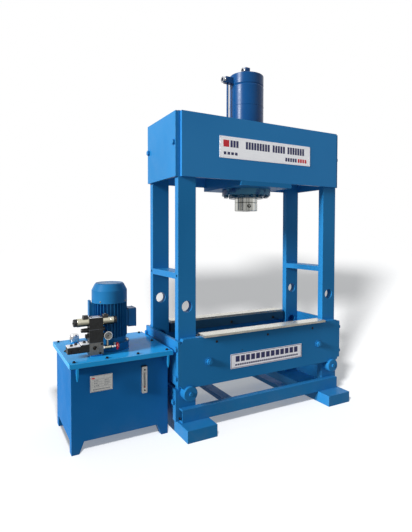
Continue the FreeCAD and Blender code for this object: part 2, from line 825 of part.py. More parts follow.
# Table: long plates outside the columns, resting on the support pins.
tableFaces = (
    ("front", f"-{tableFaceY}", f"-{columnOutY}", f"-{tableMidY}", "pin_head + 2*seat_gap"),
    ("rear", columnOutY, tableFaceY, tableMidY, f"2*{pinRadius} + 2*seat_gap"),
)
for depth, low, high, middle, seat in tableFaces:
    plate = newBody(f"table_{depth}_plate")
    face = [
        ("-table_half", "table_low"),
        ("table_half", "table_low"),
        ("table_half", f"{tableTop} - table_notch_z"),
        ("table_half - table_notch_x", tableTop),
        ("-table_half + table_notch_x", tableTop),
        ("-table_half", f"{tableTop} - table_notch_z"),
    ]
    pad(plate, "Y", low, high, [face])
    middleZ = plate.Shape.BoundBox.Center.z
    roundOff(plate, "table_round", lambda edge: along(edge, "y") and edge.CenterOfMass.z < middleZ)
    cut(plate, "Y", low, high, circles=[(f"{sign}{columnMidX}", "pin_first", seat) for sign in ("-", "")])
    cut(plate, "Y", low, high,
        circles=[(f"{sign}tie_x", "tie_z", "tie_shank + 2*bolt_gap") for sign in ("-", "")])
    for left, right in (("-table_half", "-table_half + table_bolt_deep + 4"),
                        ("table_half - table_bolt_deep - 4", "table_half")):
        holes = [(middle, level, "bolt_shank + 2*bolt_gap")
                 for level in ("table_bolt_low", "table_bolt_high")]
        cut(plate, "X", left, right, circles=holes)

# Table end plates, closing the box outside the columns.
for side, left, right in (("left", "-table_half - plate_thick", "-table_half"),
                          ("right", "table_half", "table_half + plate_thick")):
    plate = newBody(f"table_end_plate_{side}")
    pad(plate, "X", left, right,
        [rectangle(f"-{tableFaceY}", tableFaceY, "table_plate_low", "table_plate_low + table_plate_high")])
    holes = [(f"{sign}{tableMidY}", level, "bolt_shank + 2*bolt_gap")
             for sign in ("-", "") for level in ("table_bolt_low", "table_bolt_high")]
    cut(plate, "X", left, right, circles=holes)

tableBolts = []
for xSign, axis in (("-", "X"), ("", "-X")):
    for ySign in ("-", ""):
        for boltLevel in ("table_bolt_low", "table_bolt_high"):
            lengths = [
                ("hex", "bolt_flats", "-bolt_head", "bolt_head"),
                ("round", "bolt_shank", "0", "plate_thick + table_bolt_deep"),
            ]
            spot = (f"{xSign}(table_half + plate_thick)", f"{ySign}{tableMidY}", boltLevel)
            tableBolts.append(stacked("table_bolt", axis, spot, lengths))
group("table_end_bolts", tableBolts)

# Bars inside the long plates, carrying the rails with them.
for depth, low, high in (("front", f"-{columnOutY}", f"-{columnOutY} + bar_thick"),
                         ("rear", f"{columnOutY} - bar_thick", columnOutY)):
    bar = newBody(f"table_bar_{depth}")
    pad(bar, "Y", low, high, [rectangle("-bar_half", "bar_half", f"{tableTop} - bar_high", tableTop)])

# Ground rails on top of the table.
for depth, low, high in (("front", f"-{tableFaceY} - rail_proud", f"-{tableFaceY} - rail_proud + rail_wide"),
                         ("rear", f"{tableFaceY} + rail_proud - rail_wide", f"{tableFaceY} + rail_proud")):
    rail = newBody(f"table_rail_{depth}")
    pad(rail, "Z", tableTop, f"{tableTop} + rail_thick", [rectangle("-rail_half", "rail_half", low, high)])

# Tie bars across the table, a nut at each end.
ties = []
tieEnd = "(table_thick + tie_nut + 6)"
for sign in ("-", ""):
    inside = f"2*{columnOutY}"
    lengths = [
        ("round", "tie_bar", "0", inside),
        ("round", "tie_shank", f"-{tieEnd}", f"{inside} + 2*{tieEnd}"),
        ("hex", "tie_flats", "-(table_thick + tie_nut)", "tie_nut"),
        ("hex", "tie_flats", f"{inside} + table_thick", "tie_nut"),
    ]
    ties.append(stacked("tie", "Y", (f"{sign}tie_x", f"-{columnOutY}", "tie_z"), lengths))
group("table_ties", ties)

# Support pins through the lowest column bores, carrying the table.
for side, sign in (("left", "-"), ("right", "")):
    reach = f"({columnOutY} + {tableFaceY} + pin_beyond)"
    turned(f"support_pin_{side}", [
        ("0", "-pin_head_long - pin_knob_long"),
        ("pin_knob/2", "-pin_head_long - pin_knob_long"),
        ("pin_knob/2", "-pin_head_long"),
        ("pin_head/2 - pin_edge", "-pin_head_long"),
        ("pin_head/2", "-pin_head_long + pin_edge"),
        ("pin_head/2", "0"),
        (pinRadius, "0"),
        (pinRadius, f"{reach} - pin_edge"),
        (f"{pinRadius} - pin_edge", reach),
        ("0", reach),
    ], "Y", (f"{sign}{columnMidX}", f"-{columnOutY}", "pin_first"))

# Tank: welded box on four legs, with a rim and gussets under the lid.
tank = newBody("tank_body")
rimLow = f"({lidUnder} - rim_thick)"
pad(tank, "Z", "leg_high", lidUnder, [rectangle(tankLeft, tankRight, tankFront, tankBack)])
rimInset = "(lid_wall + rim_gap)"
pad(tank, "Z", rimLow, lidUnder, [rectangle(
    f"tank_centre_x - lid_wide/2 + {rimInset}", f"tank_centre_x + lid_wide/2 - {rimInset}",
    f"tank_centre_y - lid_deep/2 + {rimInset}", f"tank_centre_y + lid_deep/2 - {rimInset}")])
for front, back in ((tankFront, f"{tankFront} + leg_deep"), (f"{tankBack} - leg_deep", tankBack)):
    leftLeg = [(tankLeft, "leg_high"), (tankLeft, "0"), (f"{tankLeft} + leg_foot", "0"),
               (f"{tankLeft} + leg_top", "leg_high")]
    rightLeg = [(tankRight, "leg_high"), (tankRight, "0"), (f"{tankRight} - leg_foot", "0"),
                (f"{tankRight} - leg_top", "leg_high")]
    pad(tank, "Y", front, back, [leftLeg])
    pad(tank, "Y", front, back, [rightLeg])
for left in (f"{tankLeft} + gusset_inset", f"{tankRight} - gusset_inset - gusset_thick"):
    for edge, out in ((tankFront, f"{tankFront} - gusset_out"), (tankBack, f"{tankBack} + gusset_out")):
        gusset = [(edge, rimLow), (out, rimLow), (edge, f"{rimLow} - gusset_high")]
        pad(tank, "X", left, f"{left} + gusset_thick", [gusset])
cut(tank, "Z", "leg_high + tank_wall", lidUnder, [rectangle(
    f"{tankLeft} + tank_wall", f"{tankRight} - tank_wall",
    f"{tankFront} + tank_wall", f"{tankBack} - tank_wall")])

# Lid: folded pan over the rim, with the motor opening and the filler neck.
lid = newBody("tank_lid")
lidBox = ["tank_centre_x - lid_wide/2", "tank_centre_x + lid_wide/2",
          "tank_centre_y - lid_deep/2", "tank_centre_y + lid_deep/2"]
pad(lid, "Z", "lid_top - lid_edge", "lid_top", [rectangle(*lidBox)])
cut(lid, "Z", "lid_top - lid_edge", lidUnder, [rectangle(
    f"{lidBox[0]} + lid_wall", f"{lidBox[1]} - lid_wall",
    f"{lidBox[2]} + lid_wall", f"{lidBox[3]} - lid_wall")])
pad(lid, "Z", "lid_top", "lid_top + neck_high", circles=[("breather_x", "breather_y", "neck_outer")])
cut(lid, "Z", lidUnder, "lid_top + neck_high", circles=[("breather_x", "breather_y", "neck_outer - 6")])
cut(lid, "Z", lidUnder, "lid_top", circles=[("motor_x", "motor_y", "adapter_spigot + 2*seat_gap")])
pad(lid, "Z", "lid_top", "lid_top + riser_high", [rectangle(
    f"{manifoldLeft} + riser_inset", f"{manifoldRight} - riser_inset",
    "stack_front + riser_inset", f"{stackBack} - riser_inset")])

# Oil level gauge on the tank's front.
gauge = newBody("level_gauge")
gaugeLeft, gaugeRight = "gauge_x - gauge_wide/2", "gauge_x + gauge_wide/2"
gaugeFace = f"({tankFront} - gauge_thick)"
pad(gauge, "Y", gaugeFace, tankFront,
    [rectangle(gaugeLeft, gaugeRight, "gauge_low", "gauge_low + gauge_high")])
windowZ = "(gauge_low + gauge_high/2)"
cut(gauge, "Y", gaugeFace, f"{gaugeFace} + window_deep", [rectangle(
    "gauge_x - window_wide/2", "gauge_x + window_wide/2",
    f"{windowZ} - window_high/2", f"{windowZ} + window_high/2")])
roundOff(gauge, "5", lambda edge: along(edge, "y") and edge.Length > 10)

# Adapter between lid and motor, its floor carrying the pump.
spot = ("motor_x", "motor_y", "0")
turned("motor_adapter", [
    ("adapter_outer/2 - adapter_wall", motorLow),
    ("adapter_outer/2 - adapter_wall", f"{pumpTop} + adapter_floor"),
    ("coupling/2 - 8", f"{pumpTop} + adapter_floor"),
    ("coupling/2 - 8", pumpTop),
    ("adapter_spigot/2", pumpTop),
    ("adapter_spigot/2", "lid_top"),
    ("adapter_outer/2", "lid_top"),
    ("adapter_outer/2", motorLow),
], "Z", spot)

# Motor frame: end shields with bearing bores, cooling fins all round, seats for the terminal box.
bearing = "(shaft/2 + running_gap)"
finLow = f"({motorLow} + shield_high)"
frame = turned("motor_frame", [
    (bearing, motorLow),
    ("adapter_outer/2", motorLow),
    ("adapter_outer/2", f"{motorLow} + shield_thick"),
    ("shield_neck/2", f"{motorLow} + shield_thick"),
    ("shield_neck/2", finLow),
    ("motor_shell/2", finLow),
    ("motor_shell/2", motorTop),
    ("shield_outer/2", motorTop),
    ("shield_outer/2", f"{motorTop} + shield_lip"),
    (bearing, f"{motorTop} + shield_lip"),
    (bearing, f"{motorTop} + shield_lip - shield_thick"),
    ("stator_bore/2", f"{motorTop} + shield_lip - shield_thick"),
    ("stator_bore/2", f"{motorLow} + shield_thick"),
    (bearing, f"{motorLow} + shield_thick"),
], "Z", spot)
fin = pad(frame, "Z", finLow, motorTop,
          [rectangle("motor_shell/2 - 2", "motor_outer/2", "-fin_thick/2", "fin_thick/2")])
repeatRound(frame, fin, motorFins)
seatOut = "(motor_shell/2 + terminal_seat)"
pad(frame, "X", "motor_shell/2 - 6", seatOut, [rectangle(
    "-terminal_wide/2 + 6", "terminal_wide/2 - 6", "terminal_low + 6", "terminal_low + terminal_high - 6")])
padSides = ("cast_pad_y", "cast_pad_y + cast_pad_wide")
padTop = "(cast_pad_low + cast_pad_high)"
pad(frame, "X", "-cast_pad_out", "-motor_shell/2 + 16", [rectangle(*padSides, "cast_pad_low", padTop)])
pad(frame, "X", "-cast_pad_out", "-cast_pad_out + cast_pad_lug",
    [rectangle(*padSides, f"{padTop} - 4", f"{padTop} + cast_pad_lug_high")])

# Cowl over the fan: pressed hood with a sloped shoulder.
cowlTop = f"({motorTop} + cowl_high)"
cowlWallIn = "(cowl_outer/2 - cowl_wall)"
turned("motor_cowl", [
    ("cowl_outer/2", motorTop),
    ("cowl_outer/2", f"{motorTop} + cowl_straight"),
    ("cowl_outer/2 - 2", f"{motorTop} + cowl_straight + 4"),
    ("cowl_top/2 + 2", f"{cowlTop} - 5"),
    ("cowl_top/2 - cowl_lip", cowlTop),
    ("0", cowlTop),
    ("0", f"{cowlTop} - cowl_wall"),
    ("cowl_top/2 - cowl_lip", f"{cowlTop} - cowl_wall"),
    ("cowl_top/2 + 2 - cowl_wall", f"{cowlTop} - 5 - cowl_wall/2"),
    (f"{cowlWallIn} - 2", f"{motorTop} + cowl_straight + 4 - cowl_wall/4"),
    (cowlWallIn, f"{motorTop} + cowl_straight"),
    (cowlWallIn, motorTop),
], "Z", spot)

# Rotor on its shaft, with the coupling half below and the fan above.
rotorLow = f"({motorLow} + shield_thick + 8)"
fanLow = f"({motorTop} + shield_lip + 30)"
rotor = turned("motor_rotor", [
    ("0", f"{pumpTop} - 30"),
    ("shaft/2", f"{pumpTop} - 30"),
    ("shaft/2", f"{pumpTop} + adapter_floor + 6"),
    ("coupling/2", f"{pumpTop} + adapter_floor + 6"),
    ("coupling/2", f"{pumpTop} + adapter_floor + 6 + coupling_high"),
    ("shaft/2", f"{pumpTop} + adapter_floor + 6 + coupling_high"),
    ("shaft/2", rotorLow),
    ("stator_bore/2 - 0.5", rotorLow),
    ("stator_bore/2 - 0.5", f"{rotorLow} + rotor_long"),
    ("shaft/2", f"{rotorLow} + rotor_long"),
    ("shaft/2", fanLow),
    ("fan_outer/2", fanLow),
    ("fan_outer/2", f"{fanLow} + fan_plate"),
    ("shaft/2 + 8", f"{fanLow} + fan_plate"),
    ("shaft/2 + 8", f"{fanLow} + fan_plate + fan_blade"),
    ("0", f"{fanLow} + fan_plate + fan_blade"),
], "Z", spot)
blade = pad(rotor, "Z", f"{fanLow} + fan_plate", f"{fanLow} + fan_plate + fan_blade",
            [rectangle("shaft/2 + 4", "fan_outer/2 - 3", "-1.5", "1.5")])
repeatRound(rotor, blade, fanBlades)

# Terminal box with its cable gland at the rear.
terminal = newBody("motor_terminal_box")
terminalIn = f"motor_x + {seatOut}"
terminalBack = "(motor_y + terminal_wide/2)"
pad(terminal, "X", terminalIn, f"{terminalIn} + terminal_long", [rectangle(
    "motor_y - terminal_wide/2", terminalBack, "terminal_low", "terminal_low + terminal_high")])
roundOff(terminal, "terminal_round", lambda edge: along(edge, "x"))
glandSpot = (f"{terminalIn} + terminal_long/2", "terminal_low + terminal_high/2")
pad(terminal, "Y", f"{terminalBack} - 2", f"{terminalBack} + cable_gland_long",
    circles=[(*glandSpot, "cable_gland")])
cut(terminal, "Y", f"{terminalBack} + 1", f"{terminalBack} + cable_gland_long",
    circles=[(*glandSpot, "cable_gland - 10")])

# Pump under the adapter, with its suction pipe and strainer.
pump = turned("pump", [
    (bearing, f"{pumpTop} - 40"),
    (bearing, pumpTop),
    ("pump_flange/2", pumpTop),
    ("pump_flange/2", f"{pumpTop} - pump_flange_thick"),
    ("pump_side/2 - 4", f"{pumpTop} - pump_flange_thick"),
    ("pump_side/2 - 4", f"{pumpTop} - pump_flange_thick - pump_high"),
    ("suction_pipe/2", f"{pumpTop} - pump_flange_thick - pump_high"),
    ("suction_pipe/2", "strainer_low + strainer_high"),
    ("strainer/2", "strainer_low + strainer_high"),
    ("strainer/2", "strainer_low"),
    ("0", "strainer_low"),
    ("0", f"{pumpTop} - 40"),
], "Z", spot)
pad(pump, "Z", f"{pumpTop} - pump_flange_thick - pump_high + 16", f"{pumpTop} - pump_flange_thick - 16",
    [rectangle("-pump_side/2", "pump_side/2", "-pump_side/2 + 18", "pump_side/2 - 18")])
cut(pump, "Z", f"{pumpTop} - 40", f"{pumpTop} - pump_flange_thick", circles=[("0", "0", f"2*{bearing}")])

# Manifold block on the lid, its open port towards the front.
manifold = newBody("manifold_block")
pad(manifold, "Z", "lid_top + riser_high", moduleLow,
    [rectangle(manifoldLeft, manifoldRight, "stack_front", stackBack)])
cut(manifold, "Y", "stack_front", "stack_front + manifold_port_deep",
    circles=[("stack_x - manifold_port_x", "lid_top + manifold_port_z", "manifold_port")])

# Relief module with its adjuster boss at the left and a plug at the right.
module = newBody("relief_module")
moduleLeft, moduleRight = "(stack_x - module_wide/2)", "(stack_x + module_wide/2)"
pad(module, "Z", moduleLow, valveLow, [rectangle(moduleLeft, moduleRight, "stack_front", stackBack)])
bossOut = f"({moduleLeft} - adjuster_boss_long)"
pad(module, "X", bossOut, moduleLeft, circles=[(stackMidY, adjusterZ, "adjuster_boss")])
pad(module, "X", moduleRight, f"{moduleRight} + module_stub_long",
    circles=[(stackMidY, adjusterZ, "module_stub")])
pad(module, "X", f"{moduleLeft} - lower_plug_long", moduleLeft,
    circles=[(stackMidY, f"{adjusterZ} - lower_plug_drop", "lower_plug")])
cut(module, "X", bossOut, f"{bossOut} + 20",
    circles=[(stackMidY, adjusterZ, "adjuster_stem + 2*running_gap")])

# Knob of the relief adjuster, its stem in the boss.
turned("relief_knob", [
    ("0", "-16"),
    ("adjuster_stem/2", "-16"),
    ("adjuster_stem/2", "seat_gap"),
    ("adjuster_knob/2", "seat_gap"),
    ("adjuster_knob/2", "adjuster_knob_long - 3"),
    ("adjuster_knob/2 - 3", "adjuster_knob_long"),
    ("0", "adjuster_knob_long"),
], "-X", (bossOut, stackMidY, adjusterZ))

# Directional valve body with the two solenoids and their plug bases.
valve = newBody("valve_body")
valveLeft, valveRight = "(stack_x - valve_wide/2)", "(stack_x + valve_wide/2)"
pad(valve, "Z", valveLow, f"{valveLow} + valve_high",
    [rectangle(valveLeft, valveRight, "stack_front", stackBack)])
for side, sign, axis in (("left", "-", "-X"), ("right", "+", "X")):
    capStart = "solenoid_long"
    capEnd = "(solenoid_long + solenoid_cap_long)"
    buttonHole = "(button/2 + running_gap)"
    buttonFloor = f"({capEnd} + button_proud - button_long - button_stroke - 1)"
    solenoid = turned(f"solenoid_{side}", [
        ("0", "0"),
        ("solenoid/2", "0"),
        ("solenoid/2", capStart),
        ("solenoid_cap/2", capStart),
        ("solenoid_cap/2", f"{capEnd} - 3"),
        ("solenoid_cap/2 - 3", capEnd),
        (buttonHole, capEnd),
        (buttonHole, buttonFloor),
        ("0", buttonFloor),
    ], axis, (f"stack_x {sign} valve_wide/2", stackMidY, solenoidZ))
    plugSide = "" if side == "left" else "-"
    plugLow, plugHigh = "solenoid/2 - 6", "solenoid/2 - 6 + plug_high"
    if side == "right":
        plugLow, plugHigh = f"-({plugHigh})", f"-({plugLow})"
    pad(solenoid, "X", plugLow, plugHigh,
        [rectangle("-plug_deep/2", "plug_deep/2", "plug_offset - plug_wide/2", "plug_offset + plug_wide/2")])
    turned(f"override_button_{side}", [
        ("0", "-button_long"),
        ("button/2", "-button_long"),
        ("button/2", "-1"),
        ("button/2 - 1", "0"),
        ("0", "0"),
    ], axis, (f"stack_x {sign} ({solenoidOut} + solenoid_cap_long + button_proud)", stackMidY, solenoidZ))

# Check-valve module at the left of the manifold, stepped on top.
check = newBody("check_module")
checkLeft = f"({manifoldLeft} - check_long)"
pad(check, "Y", "stack_front", stackBack, [[
    (checkLeft, "lid_top + check_low"),
    (manifoldLeft, "lid_top + check_low"),
    (manifoldLeft, "lid_top + check_low + check_high"),
    (f"{checkLeft} + check_step_long", "lid_top + check_low + check_high"),
    (f"{checkLeft} + check_step_long", "lid_top + check_low + check_high - check_step/2"),
    (checkLeft, "lid_top + check_low + check_high - check_step/2"),
]])

# Gauge isolating valve: body and stem pointing right, with its red knob.
turned("needle_valve_body", [
    ("0", "0"),
    ("needle_body/2", "0"),
    ("needle_body/2", "needle_body_long - 4"),
    ("needle_body/2 - 4", "needle_body_long"),
    ("needle_stem/2", "needle_body_long"),
    ("needle_stem/2", "needle_body_long + needle_stem_long"),
    ("0", "needle_body_long + needle_stem_long"),
], "X", (manifoldRight, "needle_y", needleZ))
turned("needle_valve_knob", [
    ("needle_stem/2 + running_gap", "0"),
    ("needle_knob/2 - 5", "0"),
    ("needle_knob/2", "4"),
    ("needle_knob/2", "needle_knob_thick - 4"),
    ("needle_knob/2 - 5", "needle_knob_thick"),
    ("0", "needle_knob_thick"),
    ("0", "needle_knob_thick - 4"),
    ("needle_stem/2 + running_gap", "needle_knob_thick - 4"),
], "X", (f"{needleEnd} + needle_stem_long - needle_knob_thick + 4 + seat_gap", "needle_y", needleZ))

# Pressure gauge standing on the isolating valve, with its pointer.
dialBack = "(dial_front + dial_thick)"
dial = newBody("gauge_body")
pad(dial, "Y", "dial_front", dialBack, circles=[("dial_x", dialZ, "dial_outer")])
cut(dial, "Y", "dial_front", "dial_front + dial_deep", circles=[("dial_x", dialZ, "dial_recess")])
cut(dial, "Y", "dial_front + dial_deep", "dial_front + dial_deep + 6",
    circles=[("dial_x", dialZ, "pointer_axle + 2*running_gap")])
pad(dial, "Z", f"{needleZ} + needle_body/2", f"{dialZ} - dial_outer/2 + 4",
    circles=[("dial_x", "needle_y", "dial_stem")])
pointer = turned("gauge_pointer", [
    ("0", "-5"),
    ("pointer_axle/2", "-5"),
    ("pointer_axle/2", "seat_gap"),
    ("pointer_hub/2", "seat_gap"),
    ("pointer_hub/2", "seat_gap + pointer_thick"),
    ("0", "seat_gap + pointer_thick"),
], "-Y", ("dial_x", "dial_front + dial_deep", dialZ))
pad(pointer, "Z", "seat_gap", "seat_gap + pointer_thick", [[
    ("-pointer_wide/2", "-4"), ("pointer_wide/2", "-4"), ("0.3", "pointer_long"), ("-0.3", "pointer_long"),
]])
# it points to zero, at the lower left of the dial
pointer.Placement = Placement(pointer.Placement.Base, turns["-Y"] * Rotation(Vector(0, 0, 1), 135))

# Breather cap, turning on the filler neck.
breatherIn = "(neck_outer/2 + running_gap)"
turned("breather_cap", [
    (breatherIn, "breather_lift"),
    ("breather/2 - 3", "breather_lift"),
    ("breather/2", "breather_lift + 3"),
    ("breather/2", "breather_high - breather_round"),
    ("breather/2 - 3.5", "breather_high - 4"),
    ("breather/2 - breather_round", "breather_high"),
    ("0", "breather_high"),
    ("0", "neck_high + seat_gap"),
    (breatherIn, "neck_high + seat_gap"),
], "Z", ("breather_x", "breather_y", "lid_top"))

document.recompute()

for item in document.Objects:
    if "Invalid" in item.State or "Error" in item.State:
        raise ValueError(f"{item.Name} did not compute: {item.State}")
for item in pieces:
    if item.Shape.isNull() or not item.Shape.isValid():
        raise ValueError(f"{item.Label} has no valid shape")

os.makedirs("parts", exist_ok=True)
for item in pieces:
    item.Shape.exportStep(f"parts/{item.Label}.step")
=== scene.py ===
import math
import bmesh
import bpy
from mathutils import Matrix, Vector


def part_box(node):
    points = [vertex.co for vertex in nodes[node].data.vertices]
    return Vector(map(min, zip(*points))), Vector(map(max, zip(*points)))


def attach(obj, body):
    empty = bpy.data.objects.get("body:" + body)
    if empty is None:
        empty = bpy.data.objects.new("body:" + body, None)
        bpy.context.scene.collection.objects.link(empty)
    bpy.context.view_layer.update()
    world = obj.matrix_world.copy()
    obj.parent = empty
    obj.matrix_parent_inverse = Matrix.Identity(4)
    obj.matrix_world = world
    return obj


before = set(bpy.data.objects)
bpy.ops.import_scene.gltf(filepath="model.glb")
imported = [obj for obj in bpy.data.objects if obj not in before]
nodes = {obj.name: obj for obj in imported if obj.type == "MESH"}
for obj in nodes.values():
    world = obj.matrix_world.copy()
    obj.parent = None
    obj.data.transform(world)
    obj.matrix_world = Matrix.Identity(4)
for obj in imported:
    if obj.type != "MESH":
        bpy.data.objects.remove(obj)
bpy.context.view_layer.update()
millimetre = 0.001


def linear(red, green, blue):
    # a colour written as it looks on a screen, 0 to 255
    values = []
    for part in (red, green, blue):
        part = part / 255
        values.append(part / 12.92 if part <= 0.04045 else ((part + 0.055) / 1.055) ** 2.4)
    return (*values, 1.0)


class Wire:
    # one output of a shader node, which takes part in sums as a number would

    def __init__(self, graph, socket):
        self.graph = graph
        self.socket = socket

    def worked(self, operation, first, second):
        return self.graph.node("ShaderNodeMath", {"operation": operation}, {0: first, 1: second})

    def __add__(self, other):
        return self.worked("ADD", self, other)

    def __radd__(self, other):
        return self.worked("ADD", other, self)

    def __sub__(self, other):
        return self.worked("SUBTRACT", self, other)

    def __rsub__(self, other):
        return self.worked("SUBTRACT", other, self)

    def __mul__(self, other):
        return self.worked("MULTIPLY", self, other)

    def __rmul__(self, other):
        return self.worked("MULTIPLY", other, self)

    def __truediv__(self, other):
        return self.worked("DIVIDE", self, other)

    def __rtruediv__(self, other):
        return self.worked("DIVIDE", other, self)


class Graph:
    # the node tree of a material, a lamp or the world

    def __init__(self, owner):
        self.owner = owner
        owner.use_nodes = True
        self.tree = owner.node_tree
        self.tree.nodes.clear()

    def node(self, kind, settings=None, values=None, output=0):
        made = self.tree.nodes.new(kind)
        for key, value in (settings or {}).items():
            setattr(made, key, value)
        for key, value in (values or {}).items():
            if isinstance(value, Wire):
                self.tree.links.new(value.socket, made.inputs[key])
            else:
                made.inputs[key].default_value = value
        return Wire(self, made.outputs[output]) if made.outputs else None

    def mixed(self, factor, first, second):
        return self.node("ShaderNodeMix", {"data_type": "RGBA"}, {0: factor, 6: first, 7: second}, 2)

    def place(self):
        return self.node("ShaderNodeTexCoord", output="Object")

    def vector(self, operation, first, second=None, output=0):
        values = {0: first} if second is None else {0: first, 1: second}
        return self.node("ShaderNodeVectorMath", {"operation": operation}, values, output)

    def part(self, vector, axis):
        return self.node("ShaderNodeSeparateXYZ", None, {0: vector}, axis)

    def noise(self, vector, scale, detail, roughness=0.55):
        return self.node("ShaderNodeTexNoise", None, {
            "Vector": vector, "Scale": scale, "Detail": detail, "Roughness": roughness,
        })

    def between(self, value, low, high, toLow=0.0, toHigh=1.0):
        settings = {"clamp": True, "interpolation_type": "SMOOTHSTEP"}
        return self.node("ShaderNodeMapRange", settings,
                         {0: value, 1: low, 2: high, 3: toLow, 4: toHigh})

    def rounded(self, radius):
        # the normal as it would be with every edge rounded by the radius
        return self.node("ShaderNodeBevel", {"samples": 4}, {"Radius": radius})

    def edges(self, radius):
        # 0 on flats, towards 1 where the surface turns within the radius
        true = self.node("ShaderNodeNewGeometry", output="Normal")
        return 1 - self.vector("DOT_PRODUCT", self.rounded(radius), true, "Value")

    def tones(self, pattern, low, high, first, second):
        # from one colour to another as the pattern goes from low to high
        return self.mixed(self.between(pattern, low, high), linear(*first), linear(*second))

    def wornAndHighlighted(self, color, look, most):
        # a paler colour along edges: partly wear, partly painted highlight
        glow = self.between(self.edges(look["edge"]), 0.05, most) * look["edgeWearAndHighlight"]
        return self.mixed(glow, color, linear(*look["edgeWearAndHighlightColor"]))

    def grained(self, height, strength, look):
        # rounded edges under a fine relief
        return self.node("ShaderNodeBump", None, {
            "Strength": strength, "Distance": look["depth"], "Height": height,
            "Normal": self.rounded(look["edge"]),
        })

    def path(self, kind):
        return self.node("ShaderNodeLightPath", output=kind)

    def emission(self, color, strength):
        return self.node("ShaderNodeEmission", None, {"Color": color, "Strength": strength})

    def surface(self, values):
        self.output(self.node("ShaderNodeBsdfPrincipled", None, values))
        return self.owner

    def output(self, shader):
        self.node("ShaderNodeOutputMaterial", None, {"Surface": shader})


print("stage: helpers ready")

# paints: deep and bright are the two tones of a cloudy coat, the edge colour shows where it is thin and
# adds a painted highlight

paintDefaults = {
    "edge": 0.0022, "edgeWearAndHighlight": 0.5, "peelScale": 420.0, "peel": 0.12, "smooth": 0.34,
    "specular": 0.1, "dust": 0.0, "dustFoot": 0.0, "dustTop": 0.3, "dustColor": (150, 152, 150),
    "dustScale": 9.0, "depth": 0.0004,
}


def paintedSteel(name, changes):
    look = {**paintDefaults, **changes}
    g = Graph(bpy.data.materials.new(name))
    place = g.place()
    cloud = g.noise(place, look["cloudScale"], 2.0)
    peel = g.noise(place, look["peelScale"], 2.0, 0.5)
    dust = g.noise(place, look["dustScale"], 4.0, 0.6)
    low = g.between(g.part(place, 2), look["dustFoot"], look["dustTop"], 1.0, 0.0)
    color = g.wornAndHighlighted(g.tones(cloud, 0.3, 0.7, look["deep"], look["bright"]), look, 0.45)
    dusty = low * g.between(dust, 0.35, 0.75) * look["dust"]
    color = g.mixed(dusty, color, linear(*look["dustColor"]))
    return g.surface({
        "Base Color": color, "Roughness": g.between(dust, 0.3, 0.75, look["smooth"], look["rough"]),
        "Specular IOR Level": look["specular"],
        "Normal": g.grained(peel, look["peel"], look),
    })


framePaint = paintedSteel("framePaint", {
    "deep": (34, 124, 186), "bright": (41, 132, 196), "edgeWearAndHighlightColor": (92, 180, 230),
    "cloudScale": 1.7, "rough": 0.46, "dust": 0.1,
})
# painted light: the frame's paint made paler on the crosshead's front and rear plates, so that these
# faces look more brightly lit
crossheadPaintWithPaintedLight = paintedSteel("crossheadPaintWithPaintedLight", {
    "deep": (50, 139, 208), "bright": (56, 146, 214), "edgeWearAndHighlightColor": (100, 184, 232),
    "cloudScale": 1.2, "peel": 0.1, "rough": 0.44,
})
cylinderPaint = paintedSteel("cylinderPaint", {
    "deep": (0, 68, 124), "bright": (0, 78, 138), "edgeWearAndHighlightColor": (80, 176, 232), "edgeWearAndHighlight": 0.35,
    "edge": 0.002, "cloudScale": 2.2, "peelScale": 380.0, "peel": 0.06, "smooth": 0.24,
    "rough": 0.36, "specular": 0.2,
    # the flange under the crosshead is greyer
    "dust": 4.0, "dustFoot": 1.566, "dustTop": 1.57, "dustColor": (92, 160, 190),
})
barPaint = paintedSteel("barPaint", {
    "deep": (40, 82, 112), "bright": (48, 92, 124), "edgeWearAndHighlightColor": (110, 160, 190),
    "cloudScale": 2.6, "smooth": 0.3, "rough": 0.42, "specular": 0.14, "dust": 0.1,
})
# its pale edges, the flange bolts' too, are mostly painted glints
glandPaint = paintedSteel("glandPaint", {
    "deep": (14, 84, 118), "bright": (24, 100, 136), "edgeWearAndHighlightColor": (150, 200, 214),
    "edgeWearAndHighlight": 0.8, "edge": 0.0018, "cloudScale": 9.0, "peelScale": 300.0, "smooth": 0.16,
    "rough": 0.28, "specular": 0.4,
})
tankPaint = paintedSteel("tankPaint", {
    "deep": (26, 110, 178), "bright": (34, 119, 190), "edgeWearAndHighlightColor": (96, 186, 240), "edge": 0.002,
    "cloudScale": 2.6, "peelScale": 460.0, "peel": 0.14, "smooth": 0.4, "rough": 0.54,
    "specular": 0.02, "dust": 0.08, "dustTop": 0.2,
})
# its strong pale edges are painted highlight lines
lidPaint = paintedSteel("lidPaint", {
    "deep": (38, 170, 244), "bright": (50, 178, 250), "edgeWearAndHighlightColor": (170, 232, 252),
    "edgeWearAndHighlight": 1.0, "edge": 0.0036, "cloudScale": 3.4, "peelScale": 300.0, "peel": 0.1,
    "smooth": 0.08, "rough": 0.24, "specular": 0.03,
})
motorPaint = paintedSteel("motorPaint", {
    "deep": (22, 106, 162), "bright": (32, 118, 176), "edgeWearAndHighlightColor": (100, 182, 222),
    "edgeWearAndHighlight": 0.4, "edge": 0.0012, "cloudScale": 6.0, "peelScale": 260.0, "peel": 0.3,
    "smooth": 0.3, "rough": 0.42, "specular": 0.16,
})

# bright metals: drawn or ground lines along one axis, which the stretch picks; on the ram they are
# broad bands of painted reflection

# below sets how much painted shade darkens the faces that look down
metalDefaults = {"below": 0.0, "underShadeColor": (60, 60, 60), "edge": 0.0006, "depth": 0.0002}


